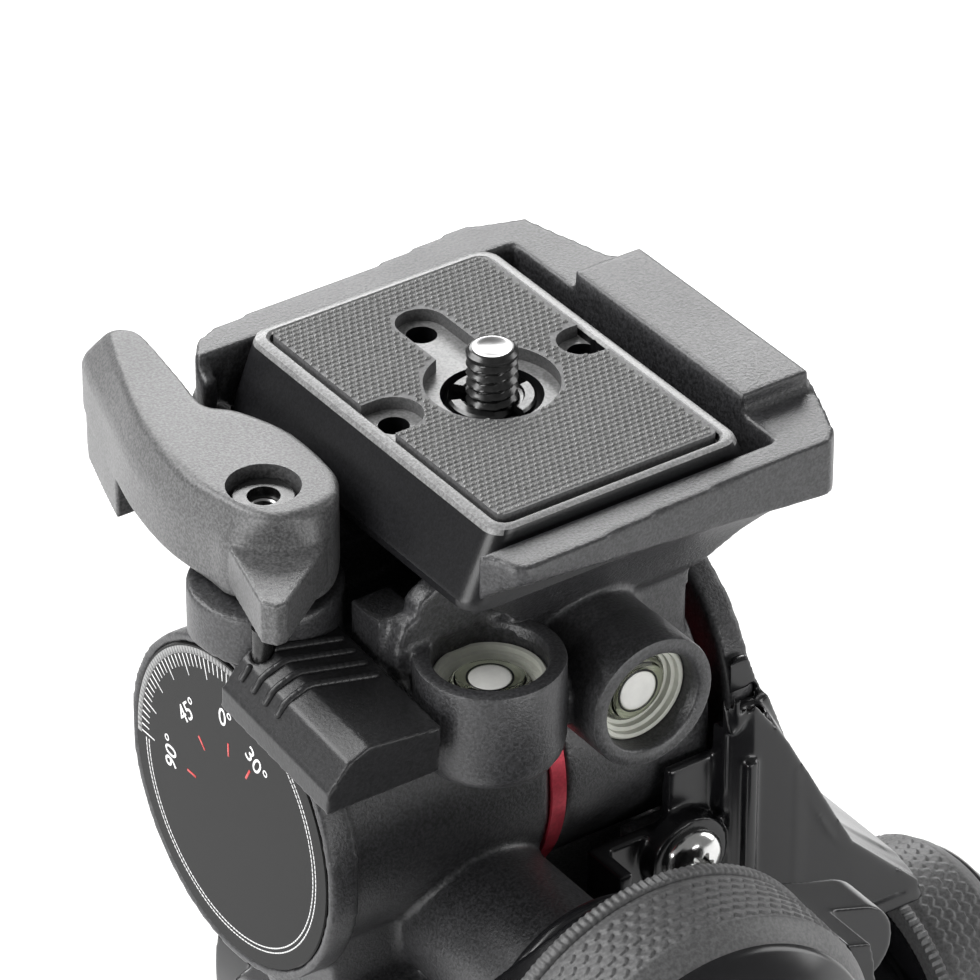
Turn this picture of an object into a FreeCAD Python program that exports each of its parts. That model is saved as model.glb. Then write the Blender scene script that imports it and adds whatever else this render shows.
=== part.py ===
"""Geared three-way pan and tilt head with a quick-release camera plate.

Frame: origin in the middle of the base's underside on the pan axis, +Z up,
+X to the fixed-jaw side, -Y to the operator.  Millimetres.
"""
import FreeCAD, Part
import math
import os
import re

import Sketcher
from FreeCAD import Placement, Rotation, Vector

# alias, value, meaning
SIZES = (
    ("base_radius", 30.0, "foot disc that meets the tripod"),
    ("base_height", 6.5, "foot disc height"),
    ("thread_radius", 4.7625, "3/8 inch tripod thread, nominal radius"),
    ("thread_depth", 12.0, "depth of the tripod thread"),
    ("bush_radius", 7.0, "outside of the threaded bush"),
    ("post_radius", 8.5, "post that the pan housing turns on"),
    ("post_top", 16.9, "shoulder under the pan wheel"),
    ("spigot_radius", 4.2, "spigot that carries the pan wheel"),
    ("spigot_top", 20.9, "top of that spigot"),
    ("pan_bore", 10.2, "cavity of the pan housing"),
    ("pan_skirt", 28.0, "widest part of the pan housing"),
    ("boss_radius", 12.5, "cover over the pan wheel"),
    ("boss_top", 23.2, "top of that cover"),
    ("gear_module", 0.8, "module of the pan and front-tilt worm pairs"),
    ("gear_teeth", 22, "teeth of the pan and front-tilt wheels"),
    ("small_centres", 11.5, "centre distance of those pairs"),
    ("big_module", 1.0, "module of the side-tilt worm pair"),
    ("big_teeth", 23, "teeth of the side-tilt wheel"),
    ("big_centres", 15.0, "centre distance of that pair"),
    ("pan_worm_height", 19.0, "height of the pan worm axis"),
    ("front_x", -8.0, "front-tilt axis, x"),
    ("front_z", 42.0, "front-tilt axis, height"),
    ("front_plane", -18.5, "y of the front-tilt wheel's mid plane"),
    ("axle_radius", 4.0, "front-tilt axle"),
    ("side_z", 84.3, "side-tilt axis, height"),
    ("side_axle_radius", 4.5, "side-tilt axle"),
    ("drum_radius", 20.0, "side-tilt drum"),
    ("dial_radius", 22.0, "rim of the dial"),
    ("dial_face", -38.0, "x of the dial face"),
    ("drum_end", -5.2, "x where the left drum ends"),
    ("side_gear_x", -14.0, "x of the side-tilt wheel"),
    ("knuckle_left", -2.7, "x of the platform knuckle's left face"),
    ("knuckle_right", 18.7, "x of its right face"),
    ("knuckle_radius", 19.5, "platform knuckle"),
    ("shaft_radius", 1.8, "worm shafts"),
    ("small_tube", 6.5, "worm tubes of pan and front tilt"),
    ("big_tube", 10.0, "worm tube of side tilt"),
    ("small_knob", 18.5, "radius of the pan and front-tilt knobs"),
    ("big_knob", 25.0, "radius of the side-tilt knob"),
    ("top_z", 130.0, "top of the quick-release plate's rim"),
    ("seat_z", 120.0, "floor of the dovetail seat"),
    ("plate_width", 34.9, "top width of the quick-release plate"),
    ("plate_flare", 42.8, "width of its dovetail foot"),
    ("plate_length", 52.5, "its length"),
    ("screw_radius", 3.175, "1/4 inch camera thread, nominal radius"),
    ("lever_x", -31.0, "clamp lever pivot, x"),
    ("lever_y", 2.0, "clamp lever pivot, y"),
    ("lever_top", 126.5, "top of the clamp lever"),
    ("run_gap", 0.3, "gap between parts that pass each other"),
)

doc = FreeCAD.newDocument("PanTiltHead")
sheet = doc.addObject("Spreadsheet::Sheet", "Sizes")
for row, (alias, number, note) in enumerate(SIZES, start=1):
    sheet.set(f"A{row}", alias)
    sheet.set(f"B{row}", str(number))
    sheet.set(f"C{row}", note)
    sheet.setAlias(f"B{row}", alias)
doc.recompute()
ALIASES = re.compile(r"\b(" + "|".join(row[0] for row in SIZES) + r")\b")

X, Y, Z = Vector(1, 0, 0), Vector(0, 1, 0), Vector(0, 0, 1)
pieces = []


def size(alias):
    """Value of one cell of the sheet."""
    return float(sheet.get(alias))


def formula(text):
    """Expression text with each alias written as a cell of the sheet."""
    return ALIASES.sub(r"Sizes.\1", text)


def number_of(value):
    """Value of a number or of an expression text."""
    if isinstance(value, str):
        return float(sheet.evalExpression(formula(value)))
    return float(value)


def bind(thing, name, value):
    """Give a property a plain number, or tie it to the sheet."""
    if isinstance(value, str):
        thing.setExpression(name, formula(value))
    else:
        setattr(thing, name, value)


def place(thing, at=(0, 0, 0), rotation=Rotation()):
    """Placement of an object, its coordinates tied to the sheet where they are expressions."""
    thing.Placement = Placement(Vector(*[number_of(value) for value in at]), rotation)
    for axis, value in zip("xyz", at):
        if isinstance(value, str):
            thing.setExpression(f"Placement.Base.{axis}", formula(value))
    return thing


def towards(direction):
    """Rotation that turns +Z into a direction."""
    return Rotation(Z, Vector(*direction))


def name_piece(thing, label):
    """Hand an object over as one of the head's separate pieces."""
    thing.Label = label
    pieces.append(thing)
    return thing


# ---------------------------------------------------------------- building blocks

def rod(name, radius, length, at, direction=(0, 0, 1)):
    """Cylinder from a point along a direction."""
    thing = doc.addObject("Part::Cylinder", name)
    bind(thing, "Radius", radius)
    bind(thing, "Height", length)
    return place(thing, at, towards(direction))


def block(name, low, high):
    """Box between two corners."""
    thing = doc.addObject("Part::Box", name)
    for side, low_value, high_value in zip(("Length", "Width", "Height"), low, high):
        if isinstance(low_value, str) or isinstance(high_value, str):
            bind(thing, side, f"({high_value}) - ({low_value})")
        else:
            setattr(thing, side, high_value - low_value)
    return place(thing, low)


def joined(name, parts):
    """Fusion of several objects."""
    thing = doc.addObject("Part::MultiFuse", name)
    thing.Shapes = parts
    thing.Refine = True
    return thing


def cut(name, base, tool):
    """One object less another."""
    thing = doc.addObject("Part::Cut", name)
    thing.Base = base
    thing.Tool = tool
    thing.Refine = True
    return thing


def cut_all(name, base, tools):
    """One object less several."""
    if len(tools) == 1:
        return cut(name, base, tools[0])
    return cut(name, base, joined(name + "Tools", tools))


def common(name, first, second):
    """What two objects share."""
    thing = doc.addObject("Part::Common", name)
    thing.Base = first
    thing.Tool = second
    thing.Refine = True
    return thing


def draw(sketch, points):
    """Closed outline whose corners are all dimensioned from the sketch's origin."""
    values = [(number_of(u), number_of(v)) for u, v in points]
    count = len(values)
    for index, (u, v) in enumerate(values):
        u_next, v_next = values[(index + 1) % count]
        sketch.addGeometry(Part.LineSegment(Vector(u, v, 0), Vector(u_next, v_next, 0)))
    for index in range(count):
        sketch.addConstraint(Sketcher.Constraint("Coincident", index, 2, (index + 1) % count, 1))
    for index, ((u, v), (u_text, v_text)) in enumerate(zip(values, points)):
        for kind, axis, value, text in (("DistanceX", -2, u, u_text), ("DistanceY", -1, v, v_text)):
            if abs(value) < 1e-9:
                sketch.addConstraint(Sketcher.Constraint("PointOnObject", index, 1, axis))
                continue
            made = sketch.addConstraint(Sketcher.Constraint(kind, -1, 1, index, 1, value))
            if isinstance(text, str):
                sketch.setExpression(f"Constraints[{made}]", formula(text))


def plane_of(body, role):
    """One of a body's own origin planes."""
    return [plane for plane in body.Origin.OriginFeatures if plane.Role == role][0]


def turned(name, profile, at=(0, 0, 0), direction=(0, 0, 1)):
    """Body of revolution about its own Z, from (radius, height) corners."""
    body = doc.addObject("PartDesign::Body", name)
    sketch = body.newObject("Sketcher::SketchObject", name + "Profile")
    sketch.AttachmentSupport = (plane_of(body, "XZ_Plane"), [""])
    sketch.MapMode = "FlatFace"
    draw(sketch, profile)
    revolution = body.newObject("PartDesign::Revolution", name + "Turn")
    revolution.Profile = sketch
    revolution.ReferenceAxis = (sketch, ["V_Axis"])
    revolution.Angle = 360
    return place(body, at, towards(direction))


FACING = {
    "Y": Rotation(X, 90),
    "X": Rotation(Vector(1, 1, 1), 120),
    "Z": Rotation(),
}


def slab(name, facing, outline, start, depth):
    """Outline pushed through a depth: drawn in XZ for Y, in YZ for X, in XY for Z."""
    sketch = doc.addObject("Sketcher::SketchObject", name + "Outline")
    draw(sketch, outline)
    axis = {"X": X, "Y": Y, "Z": Z}[facing]
    sketch.Placement = Placement(axis * number_of(start), FACING[facing])
    push = doc.addObject("Part::Extrusion", name)
    push.Base = sketch
    push.DirMode = "Custom"
    push.Dir = axis
    bind(push, "LengthFwd", depth)
    push.Solid = True
    return push


def rounded(name, base, radius, choose):
    """Fillet of the edges that a test picks by their middle point and direction."""
    doc.recompute()
    picked = []
    for index, edge in enumerate(base.Shape.Edges, start=1):
        middle = edge.valueAt((edge.FirstParameter + edge.LastParameter) / 2)
        start, end = edge.firstVertex().Point, edge.lastVertex().Point
        along = (end - start)
        if along.Length > 1e-6:
            along.normalize()
        if choose(middle, along, edge):
            picked.append((index, radius, radius))
    thing = doc.addObject("Part::Fillet", name)
    thing.Base = base
    thing.Edges = picked
    return thing


def feature(name, shape, at=(0, 0, 0), rotation=Rotation()):
    """Object that holds a shape made with Part's own functions."""
    thing = doc.addObject("Part::Feature", name)
    thing.Shape = shape
    return place(thing, at, rotation)


# ---------------------------------------------------------------- gears

TOOTH_SHARE = 0.32       # tooth thickness at the pitch line, as a share of the pitch
TOOTH_TAPER = math.tan(math.radians(20))
WORM_HALF_LENGTH = 6.0
WHEEL_WIDTH = 3.4


def wheel_shape(module, teeth, bore, width):
    """Worm wheel about Z with straight teeth; one gap points along +X."""
    pitch_radius = module * teeth / 2
    outer = pitch_radius + 0.9 * module
    root = pitch_radius - 1.2 * module
    half = TOOTH_SHARE * math.pi * module / 2
    corners = []
    for tooth in range(teeth):
        middle = 2 * math.pi * (tooth + 0.5) / teeth
        for radius, side in ((root, -1), (outer, -1), (outer, 1), (root, 1)):
            width_here = half - (radius - pitch_radius) * TOOTH_TAPER
            angle = middle + side * width_here / radius
            corners.append(Vector(radius * math.cos(angle), radius * math.sin(angle), -width / 2))
    face = Part.Face(Part.makePolygon(corners + corners[:1]))
    return face.extrude(Z * width).cut(Part.makeCylinder(bore, width, Z * (-width / 2)))


def worm_shape(module, pitch_radius, shaft, back, front):
    """Worm and shaft about X; at x = 0 the thread's crest points along +Z."""
    pitch = math.pi * module
    root = pitch_radius - 1.1 * module
    outer = pitch_radius + 0.9 * module
    half = TOOTH_SHARE * pitch / 2
    sunk = root - 0.15
    turns = 2 * WORM_HALF_LENGTH / pitch
    helix = Part.makeHelix(pitch, 2 * WORM_HALF_LENGTH, sunk)
    wide = half + (pitch_radius - sunk) * TOOTH_TAPER
    narrow = half - (outer - pitch_radius) * TOOTH_TAPER
    corners = [Vector(sunk, 0, -wide), Vector(outer, 0, -narrow),
               Vector(outer, 0, narrow), Vector(sunk, 0, wide)]
    profile = Part.makePolygon(corners + corners[:1])
    thread = Part.Wire(helix).makePipeShell([profile], True, True)
    core = Part.makeCylinder(root, 2 * WORM_HALF_LENGTH + 2 * wide, Vector(0, 0, -wide))
    worm = core.fuse(thread)
    worm.translate(Z * -WORM_HALF_LENGTH)
    half_turn = 360 * turns / 2
    worm.rotate(Vector(), Z, -half_turn)
    worm = worm.fuse(Part.makeCylinder(shaft, front + back, Vector(0, 0, -back)))
    worm.rotate(Vector(), Y, 90)
    worm.rotate(Vector(), X, 180)
    return worm.removeSplitter()


def spring_shape(radius, wire, pitch, turns):
    """Open coil of eight-sided wire about Z, starting on the XY plane."""
    helix = Part.makeHelix(pitch, pitch * turns, radius)
    corners = []
    for step in range(8):
        angle = math.pi * (step + 0.5) / 4
        corners.append(Vector(radius + wire * math.cos(angle), 0, wire * math.sin(angle)))
    section = Part.makePolygon(corners + corners[:1])
    return Part.Wire(helix).makePipeShell([section], True, True)


# ---------------------------------------------------------------- control groups
# Each group is laid out along its own axis from the middle of its worm: worm
# tube, red ring, release lever on the tube's nose, then the knob.

NOSE_RADIUS = 5.0
RING_WIDTH = 2.0
LEVER_START = 2.3
LEVER_WIDTH = 7.0
KNOB_START = 9.8
KNOB_WIDTH = 18.2
SHAFT_BEYOND = 25.8
WORM_BACK = 10.2
TUBE_BACK = 11.4
BEARING_WIDTH = 2.6
SEAT_STEP = 1.5


def frame_of(forward, wheel_side):
    """Rotation that turns +X into one direction and +Z into another."""
    along, side = Vector(*forward), Vector(*wheel_side)
    across = side.cross(along)
    return Placement(FreeCAD.Matrix(along.x, across.x, side.x, 0,
                                    along.y, across.y, side.y, 0,
                                    along.z, across.z, side.z, 0)).Rotation


def upright_frame(upward, sideways):
    """Rotation that turns +Z into one direction and +X into another."""
    up, side = Vector(*upward), Vector(*sideways)
    across = up.cross(side)
    return Placement(FreeCAD.Matrix(side.x, across.x, up.x, 0,
                                    side.y, across.y, up.y, 0,
                                    side.z, across.z, up.z, 0)).Rotation


def shifted(at, forward, distance):
    """Point at a distance along a group's axis."""
    return [value if abs(step) < 0.5 else f"({value}) + ({step * distance})"
            for value, step in zip(at, forward)]


def wing_outline(hub, reach, tip, depth):
    """Two wings that taper from a round hub to round tips, as a plate about Z."""
    far = reach - tip
    lean = math.asin((hub - tip) / far)
    corners = []
    for side, rise in ((1, -1), (1, 1), (-1, 1), (-1, -1)):
        angle = rise * (math.pi / 2 - side * lean)
        spots = [(0, hub), (side * far, tip)]
        if side * rise > 0:
            spots.reverse()
        for middle, radius in spots:
            corners.append(Vector(middle + radius * math.cos(angle), radius * math.sin(angle), 0))
    plate = Part.Face(Part.makePolygon(corners + corners[:1])).extrude(Z * depth)
    plate = plate.fuse(Part.makeCylinder(hub, depth))
    for side in (-1, 1):
        plate = plate.fuse(Part.makeCylinder(tip, depth, Vector(side * far, 0, 0)))
    return plate.removeSplitter()


def release_lever_shape(hub, reach, tip, knob):
    """Double-winged lever, hollow towards the head, its rims cupped round the knob."""
    wall = 1.8
    body = wing_outline(hub, reach, tip, LEVER_WIDTH)
    hollow = wing_outline(hub - wall, reach - wall, tip - wall, LEVER_WIDTH - 2.2)
    hollow = hollow.cut(Part.makeCylinder(NOSE_RADIUS + 4.0, LEVER_WIDTH))
    body = body.cut(hollow)
    rib = Part.makeBox(2 * (reach - tip), wall, LEVER_WIDTH - 1.0, Vector(tip - reach, -wall / 2, 0.6))
    rib = rib.cut(Part.makeCylinder(NOSE_RADIUS + 3.0, LEVER_WIDTH))
    body = body.fuse(rib)
    cup = wing_outline(hub, reach, tip, LEVER_WIDTH + 8.0)
    inner = Part.makeCylinder(knob + 1.4, LEVER_WIDTH + 9.0)
    outer = Part.makeCylinder(knob + 4.4, LEVER_WIDTH + 9.0)
    cup = cup.common(outer.cut(inner))
    cup = cup.cut(Part.makeBox(4 * reach, 4 * reach, LEVER_WIDTH - 1.0, Vector(-2 * reach, -2 * reach, 0)))
    body = body.fuse(cup)
    body = body.cut(Part.makeCylinder(NOSE_RADIUS + 0.1, LEVER_WIDTH))
    body = body.cut(Part.makeCylinder(NOSE_RADIUS + 2.4, 4.0))
    return body.removeSplitter()


def control_group(prefix, at, forward, wheel_side, tube_length, knob, pair, wing, wing_axis):
    """Worm shaft, bearings, ring, release lever, spring and knob of one axis."""
    module, pitch_radius, bore = pair
    hub, reach, tip = wing
    turn = frame_of(forward, wheel_side)
    upright = upright_frame(forward, wing_axis)
    shaft = size("shaft_radius")

    def along(distance):
        return shifted(at, forward, distance)

    worm = worm_shape(module, pitch_radius, shaft, WORM_BACK, tube_length + SHAFT_BEYOND)
    name_piece(feature(prefix + "Worm", worm, at, turn), prefix.lower() + "_worm_shaft")
    bearing = ((shaft + 0.03, 0), (bore, 0), (bore, BEARING_WIDTH), (shaft + 0.03, BEARING_WIDTH))
    couple = doc.addObject("Part::Compound", prefix + "Bearings")
    couple.Links = [turned(prefix + end + "Bearing", bearing, along(distance), forward)
                    for end, distance in (("Rear", 0.2 - WORM_BACK), ("Front", tube_length - SEAT_STEP - BEARING_WIDTH))]
    name_piece(couple, prefix.lower() + "_worm_bearings")
    ring = ((NOSE_RADIUS, 0), (hub - 1.2, 0), (hub - 0.7, 0.5), (hub - 0.7, RING_WIDTH - 0.5),
            (hub - 1.2, RING_WIDTH), (NOSE_RADIUS, RING_WIDTH))
    name_piece(turned(prefix + "Ring", ring, along(tube_length), forward), prefix.lower() + "_ring")
    lever = release_lever_shape(hub, reach, tip, knob)
    name_piece(feature(prefix + "Release", lever, along(tube_length + LEVER_START), upright),
               prefix.lower() + "_release_lever")
    coil = spring_shape(NOSE_RADIUS + 1.2, 0.4, 1.0, 3)
    name_piece(feature(prefix + "Spring", coil, along(tube_length + LEVER_START + 0.45), upright),
               prefix.lower() + "_release_spring")
    core_radius = knob - 2.2
    core = ((shaft, 0), (0.62 * knob, 0), (0.62 * knob, 1.0), (core_radius, 1.0),
            (core_radius, 15.4), (0.72 * knob, KNOB_WIDTH), (0, KNOB_WIDTH), (0, 16.0), (shaft, 16.0))
    name_piece(turned(prefix + "KnobCore", core, along(tube_length + KNOB_START), forward),
               prefix.lower() + "_knob_core")
    grip = ((core_radius, 1.2), (knob + 0.6, 1.2), (knob + 0.6, 2.8), (knob, 3.2),
            (knob - 0.3, 12.8), (knob - 1.2, 14.4), (core_radius, 15.2))
    name_piece(turned(prefix + "KnobGrip", grip, along(tube_length + KNOB_START), forward),
               prefix.lower() + "_knob_grip")
    cap = ((0, 0), (0.55 * knob, 0), (0.55 * knob, 0.6), (0.5 * knob, 1.0), (0, 1.2))
    name_piece(turned(prefix + "KnobCap", cap, along(tube_length + KNOB_START + KNOB_WIDTH), forward),
               prefix.lower() + "_knob_cap")


def worm_tube(name, at, forward, tube_length, radius):
    """Outside of a worm housing with the nose that the release lever turns on."""
    tube = rod(name + "Tube", radius, TUBE_BACK + tube_length, shifted(at, forward, -TUBE_BACK), forward)
    nose = rod(name + "Nose", NOSE_RADIUS, LEVER_START + LEVER_WIDTH + 1.0,
               shifted(at, forward, tube_length - 1.0), forward)
    return [tube, nose]


def worm_bore(name, at, forward, tube_length, bore):
    """Hollow of a worm housing: wide for worm and bearings, narrow through the nose."""
    wide = rod(name + "Wide", bore, WORM_BACK + tube_length - SEAT_STEP,
               shifted(at, forward, -WORM_BACK), forward)
    narrow = rod(name + "Narrow", "shaft_radius + 0.3", tube_length + 20,
                 at, forward)
    return [wide, narrow]


# ---------------------------------------------------------------- foot

def make_foot():
    plate = turned("FootTurned", (
        ("bush_radius", 0), ("base_radius - 0.8", 0), ("base_radius", 0.8), ("base_radius", 1.4),
        ("base_radius - 1.2", 1.4), ("base_radius - 1.2", 5.4), ("base_radius", 5.4),
        ("base_radius", "base_height - 0.6"), ("base_radius - 0.8", "base_height"),
        ("post_radius", "base_height"), ("post_radius", "post_top"), ("spigot_radius", "post_top"),
        ("spigot_radius", "spigot_top"), (0, "spigot_top"), (0, "thread_depth + 0.2"),
        ("bush_radius", "thread_depth + 0.2")))
    name_piece(plate, "foot_disc")
    name_piece(turned("ScaleRing", (
        ("base_radius - 1.2", 1.4), ("base_radius - 0.1", 1.4), ("base_radius - 0.1", 5.4),
        ("base_radius - 1.2", 5.4))), "pan_scale_ring")
    name_piece(turned("TripodBush", (
        ("thread_radius", 0), ("bush_radius", 0), ("bush_radius", "thread_depth"),
        ("thread_radius", "thread_depth"))), "tripod_thread_bush")
    wheel = wheel_shape(size("gear_module"), int(size("gear_teeth")), size("spigot_radius"), WHEEL_WIDTH)
    name_piece(feature("PanWheel", wheel, (0, 0, "pan_worm_height")), "pan_wheel")
    name_piece(turned("PanRetainer", (
        (0, 0), (6.0, 0), (6.0, 0.3), (5.7, 0.6), (0, 0.6)), (0, 0, "spigot_top + 0.03")),
        "pan_wheel_retainer")


# ---------------------------------------------------------------- pan housing

PAN_AT = ("small_centres", 0, "pan_worm_height")
PAN_TUBE = 30.0
SMALL_BORE = 4.3
BIG_BORE = 4.8


def make_pan_housing():
    shell = turned("PanShell", (
        (0, "base_height + run_gap"), ("pan_skirt", "base_height + run_gap"), ("pan_skirt", 9.6),
        ("pan_skirt - 1.5", 10.6), (15.0, 16.5), ("boss_radius", 17.5), ("boss_radius", "boss_top - 0.8"),
        ("boss_radius - 0.8", "boss_top"), (0, "boss_top")))
    tongue = rod("TongueEye", 12.5, 16.0, ("front_x", -8.0, "front_z"), (0, 1, 0))
    neck = block("TongueNeck", ("front_x - 12.5", -8.0, 12.0), ("front_x + 12.5", 8.0, "front_z"))
    tubes = worm_tube("Pan", PAN_AT, (0, 1, 0), PAN_TUBE, "small_tube")
    solid = joined("PanSolid", [shell, tongue, neck] + tubes)
    cavity = rod("PanCavity", "pan_bore", "22 - base_height - run_gap + 0.01",
                 (0, 0, "base_height + run_gap - 0.01"))
    axle = rod("TongueBore", "axle_radius", 20.0, ("front_x", -10.0, "front_z"), (0, 1, 0))
    housing = cut_all("PanHousing", solid,
                      [cavity, axle] + worm_bore("Pan", PAN_AT, (0, 1, 0), PAN_TUBE, SMALL_BORE))
    name_piece(housing, "pan_housing")
    name_piece(turned("PanBush", (
        ("post_radius + 0.03", 7.2), ("pan_bore", 7.2), ("pan_bore", 15.6),
        ("post_radius + 0.03", 15.6))), "pan_bush")
    axle_piece = turned("FrontAxle", (
        (0, 0), ("axle_radius", 0), ("axle_radius", 43.4), (0, 43.4)),
        ("front_x", 20.4, "front_z"), (0, -1, 0))
    name_piece(axle_piece, "front_tilt_axle")
    wheel = wheel_shape(size("gear_module"), int(size("gear_teeth")), size("axle_radius"), WHEEL_WIDTH)
    name_piece(feature("FrontWheel", wheel, ("front_x", "front_plane", "front_z"),
                       upright_frame((0, 1, 0), (0, 0, -1))), "front_tilt_wheel")


# ---------------------------------------------------------------- cradle

FRONT_AT = ("front_x", "front_plane", "front_z - small_centres")
FRONT_TUBE = 42.0
SIDE_AT = ("side_gear_x", 0, "side_z - big_centres")
SIDE_TUBE = 40.0
FAIRING_SCREW = (12.3, 70.4)
RIGHT_CHEEK = (21.3, 25.0)


def make_cradle():
    drum = rod("Drum", "drum_radius", "drum_end + 34", (-34.0, 0, "side_z"), (1, 0, 0))
    dial_drum = rod("DialDrum", "dial_radius", 4.01, ("dial_face", 0, "side_z"), (1, 0, 0))
    bridge = block("Bridge", (-30.0, -19.5, 57.5), (RIGHT_CHEEK[1], 20.0, 62.0))
    saddle = block("Saddle", (-33.5, -15.0, 57.5), ("drum_end", 11.0, 72.0))
    cheek = rod("RightCheek", "drum_radius", RIGHT_CHEEK[1] - RIGHT_CHEEK[0], (RIGHT_CHEEK[0], 0, "side_z"), (1, 0, 0))
    post = block("RightPost", (RIGHT_CHEEK[0], -15.0, 57.5), (RIGHT_CHEEK[1], 15.0, "side_z"))
    front_eye = rod("FrontEye", 13.0, 13.0, ("front_x", -25.0, "front_z"), (0, 1, 0))
    front_arm = block("FrontArm", ("front_x - 13", -25.0, "front_z"), ("front_x + 13", -12.0, 62.0))
    rear_eye = rod("RearEye", 13.0, 11.0, ("front_x", 9.0, "front_z"), (0, 1, 0))
    rear_arm = block("RearArm", ("front_x - 13", 9.0, "front_z"), ("front_x + 13", 20.0, 60.0))
    web = slab("FrontWeb", "Y", (("front_x", 30.0), (33.0, 30.0), (33.0, 40.0), (24.0, 60.0), ("front_x", 60.0)),
               -19.5, 3.5)
    worm_block = block("SideWormBlock", (-32.0, 2.0, 60.5), (-5.2, 11.4, 78.0))
    bracket = block("FairingBracket", (7.0, -19.5, 57.5), (RIGHT_CHEEK[1], -16.8, 73.0))
    tubes = worm_tube("Front", FRONT_AT, (1, 0, 0), FRONT_TUBE, "small_tube")
    tubes += worm_tube("Side", SIDE_AT, (0, -1, 0), SIDE_TUBE, "big_tube")
    solid = joined("CradleSolid", [drum, dial_drum, bridge, saddle, cheek, post, front_eye, front_arm,
                                   rear_eye, rear_arm, web, worm_block, bracket] + tubes)
    hollows = [
        rod("SideGearRoom", 13.2, 13.0, (-18.0, 0, "side_z"), (1, 0, 0)),
        rod("HingeRingRoom", "drum_radius + 0.25", 2.8, ("drum_end", 0, "side_z"), (1, 0, 0)),
        rod("SideBushSeat", 6.5, 20.0, (-34.0, 0, "side_z"), (1, 0, 0)),
        rod("RightBushSeat", 6.5, 4.2, (20.0, 0, "side_z"), (1, 0, 0)),
        rod("DialSeat", "dial_radius - 1.2", 1.0, ("dial_face - 0.001", 0, "side_z"), (1, 0, 0)),
        rod("FrontGearRoom", 10.4, 12.0, ("front_x", -28.0, "front_z"), (0, 1, 0)),
        rod("FrontBushSeat", 6.0, 50.0, ("front_x", -26.0, "front_z"), (0, 1, 0)),
        rod("FairingScrewHole", 2.1, 5.0, (FAIRING_SCREW[0], -21.0, FAIRING_SCREW[1]), (0, 1, 0)),
    ]
    hollows += worm_bore("FrontRoom", FRONT_AT, (1, 0, 0), FRONT_TUBE, SMALL_BORE)
    hollows += worm_bore("SideRoom", SIDE_AT, (0, -1, 0), SIDE_TUBE, BIG_BORE)
    name_piece(cut_all("CradleFrame", solid, hollows), "cradle_frame")


def make_cradle_details():
    name_piece(turned("Dial", ((0, 0), ("dial_radius - 1.25", 0), ("dial_radius - 1.25", 0.95), (0, 0.95)),
                      ("dial_face", 0, "side_z"), (1, 0, 0)), "tilt_dial")
    washer = ((7.0, 0), ("drum_radius + 0.2", 0), ("drum_radius + 0.2", 2.0), (7.0, 2.0))
    name_piece(turned("LeftHingeRing", washer, ("drum_end", 0, "side_z"), (1, 0, 0)), "left_hinge_ring")
    right = ((6.5, 0), ("drum_radius + 0.2", 0), ("drum_radius + 0.2", 2.2), (6.5, 2.2))
    name_piece(turned("RightHingeRing", right, (19.1, 0, "side_z"), (1, 0, 0)), "right_hinge_ring")
    side_bush = ((4.53, 0), (6.5, 0), (6.5, 12.0), (4.53, 12.0))
    name_piece(turned("SideBushLeft", side_bush, (-30.5, 0, "side_z"), (1, 0, 0)), "side_tilt_left_bush")
    short_bush = ((4.53, 0), (6.5, 0), (6.5, 2.7), (4.53, 2.7))
    name_piece(turned("SideBushRight", short_bush, (21.4, 0, "side_z"), (1, 0, 0)), "side_tilt_right_bush")
    tilt_bush = ((4.03, 0), (6.0, 0), (6.0, 3.4), (4.03, 3.4))
    name_piece(turned("FrontBush", tilt_bush, ("front_x", -12.2, "front_z"), (0, -1, 0)), "front_tilt_front_bush")
    rear_bush = ((4.03, 0), (6.0, 0), (6.0, 10.5), (4.03, 10.5))
    name_piece(turned("RearBush", rear_bush, ("front_x", 9.2, "front_z"), (0, 1, 0)), "front_tilt_rear_bush")
    cover = ((0, 0), (10.35, 0), (10.35, 1.6), (12.6, 1.6), (12.6, 3.0), (11.8, 3.8), (0, 3.8))
    name_piece(turned("FrontCover", cover, ("front_x", -25.05 + 1.6, "front_z"), (0, -1, 0)), "front_gear_cover")
    rear_cover = ((0, 0), (12.4, 0), (12.4, 1.2), (11.4, 2.2), (0, 2.2))
    name_piece(turned("RearCover", rear_cover, ("front_x", 20.75, "front_z"), (0, 1, 0)), "rear_hinge_cover")


# outer line of the fairing in XZ, from the right hinge ring down to the front-tilt tube
FAIRING_LINE = ((21.6, 101.0), (24.0, 92.5), (27.2, 84.0), (30.6, 75.0), (34.6, 67.0), (40.0, 61.0), (47.0, 54.5))
FAIRING_WALL = 2.0
FAIRING_FRONT = -27.0
FAIRING_BACK = 10.0
FAIRING_FLOOR = -21.6


def fairing_face(offset, left, bottom):
    """Face below the fairing's S-line, moved inwards by an offset."""
    points = [Vector(x, 0, z) for x, z in FAIRING_LINE]
    line = Part.BSplineCurve()
    line.interpolate(points)
    moved = []
    for step in range(13):
        parameter = line.FirstParameter + (line.LastParameter - line.FirstParameter) * step / 12
        spot = line.value(parameter)
        slope = line.tangent(parameter)[0]
        normal = Vector(slope.z, 0, -slope.x)
        if normal.x > 0:
            normal = normal * -1
        moved.append(spot + normal * offset)
    inner = Part.BSplineCurve()
    inner.interpolate(moved)
    start, end = moved[0], moved[-1]
    corners = [end, Vector(end.x, 0, bottom), Vector(left, 0, bottom), Vector(left, 0, start.z), start]
    edges = [inner.toShape()]
    for first, second in zip(corners, corners[1:]):
        if (first - second).Length > 1e-6:
            edges.append(Part.makeLine(first, second))
    return Part.Face(Part.Wire(edges))


FAIRING_LEFT = 0.0
FAIRING_LOW = 51.0


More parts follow.
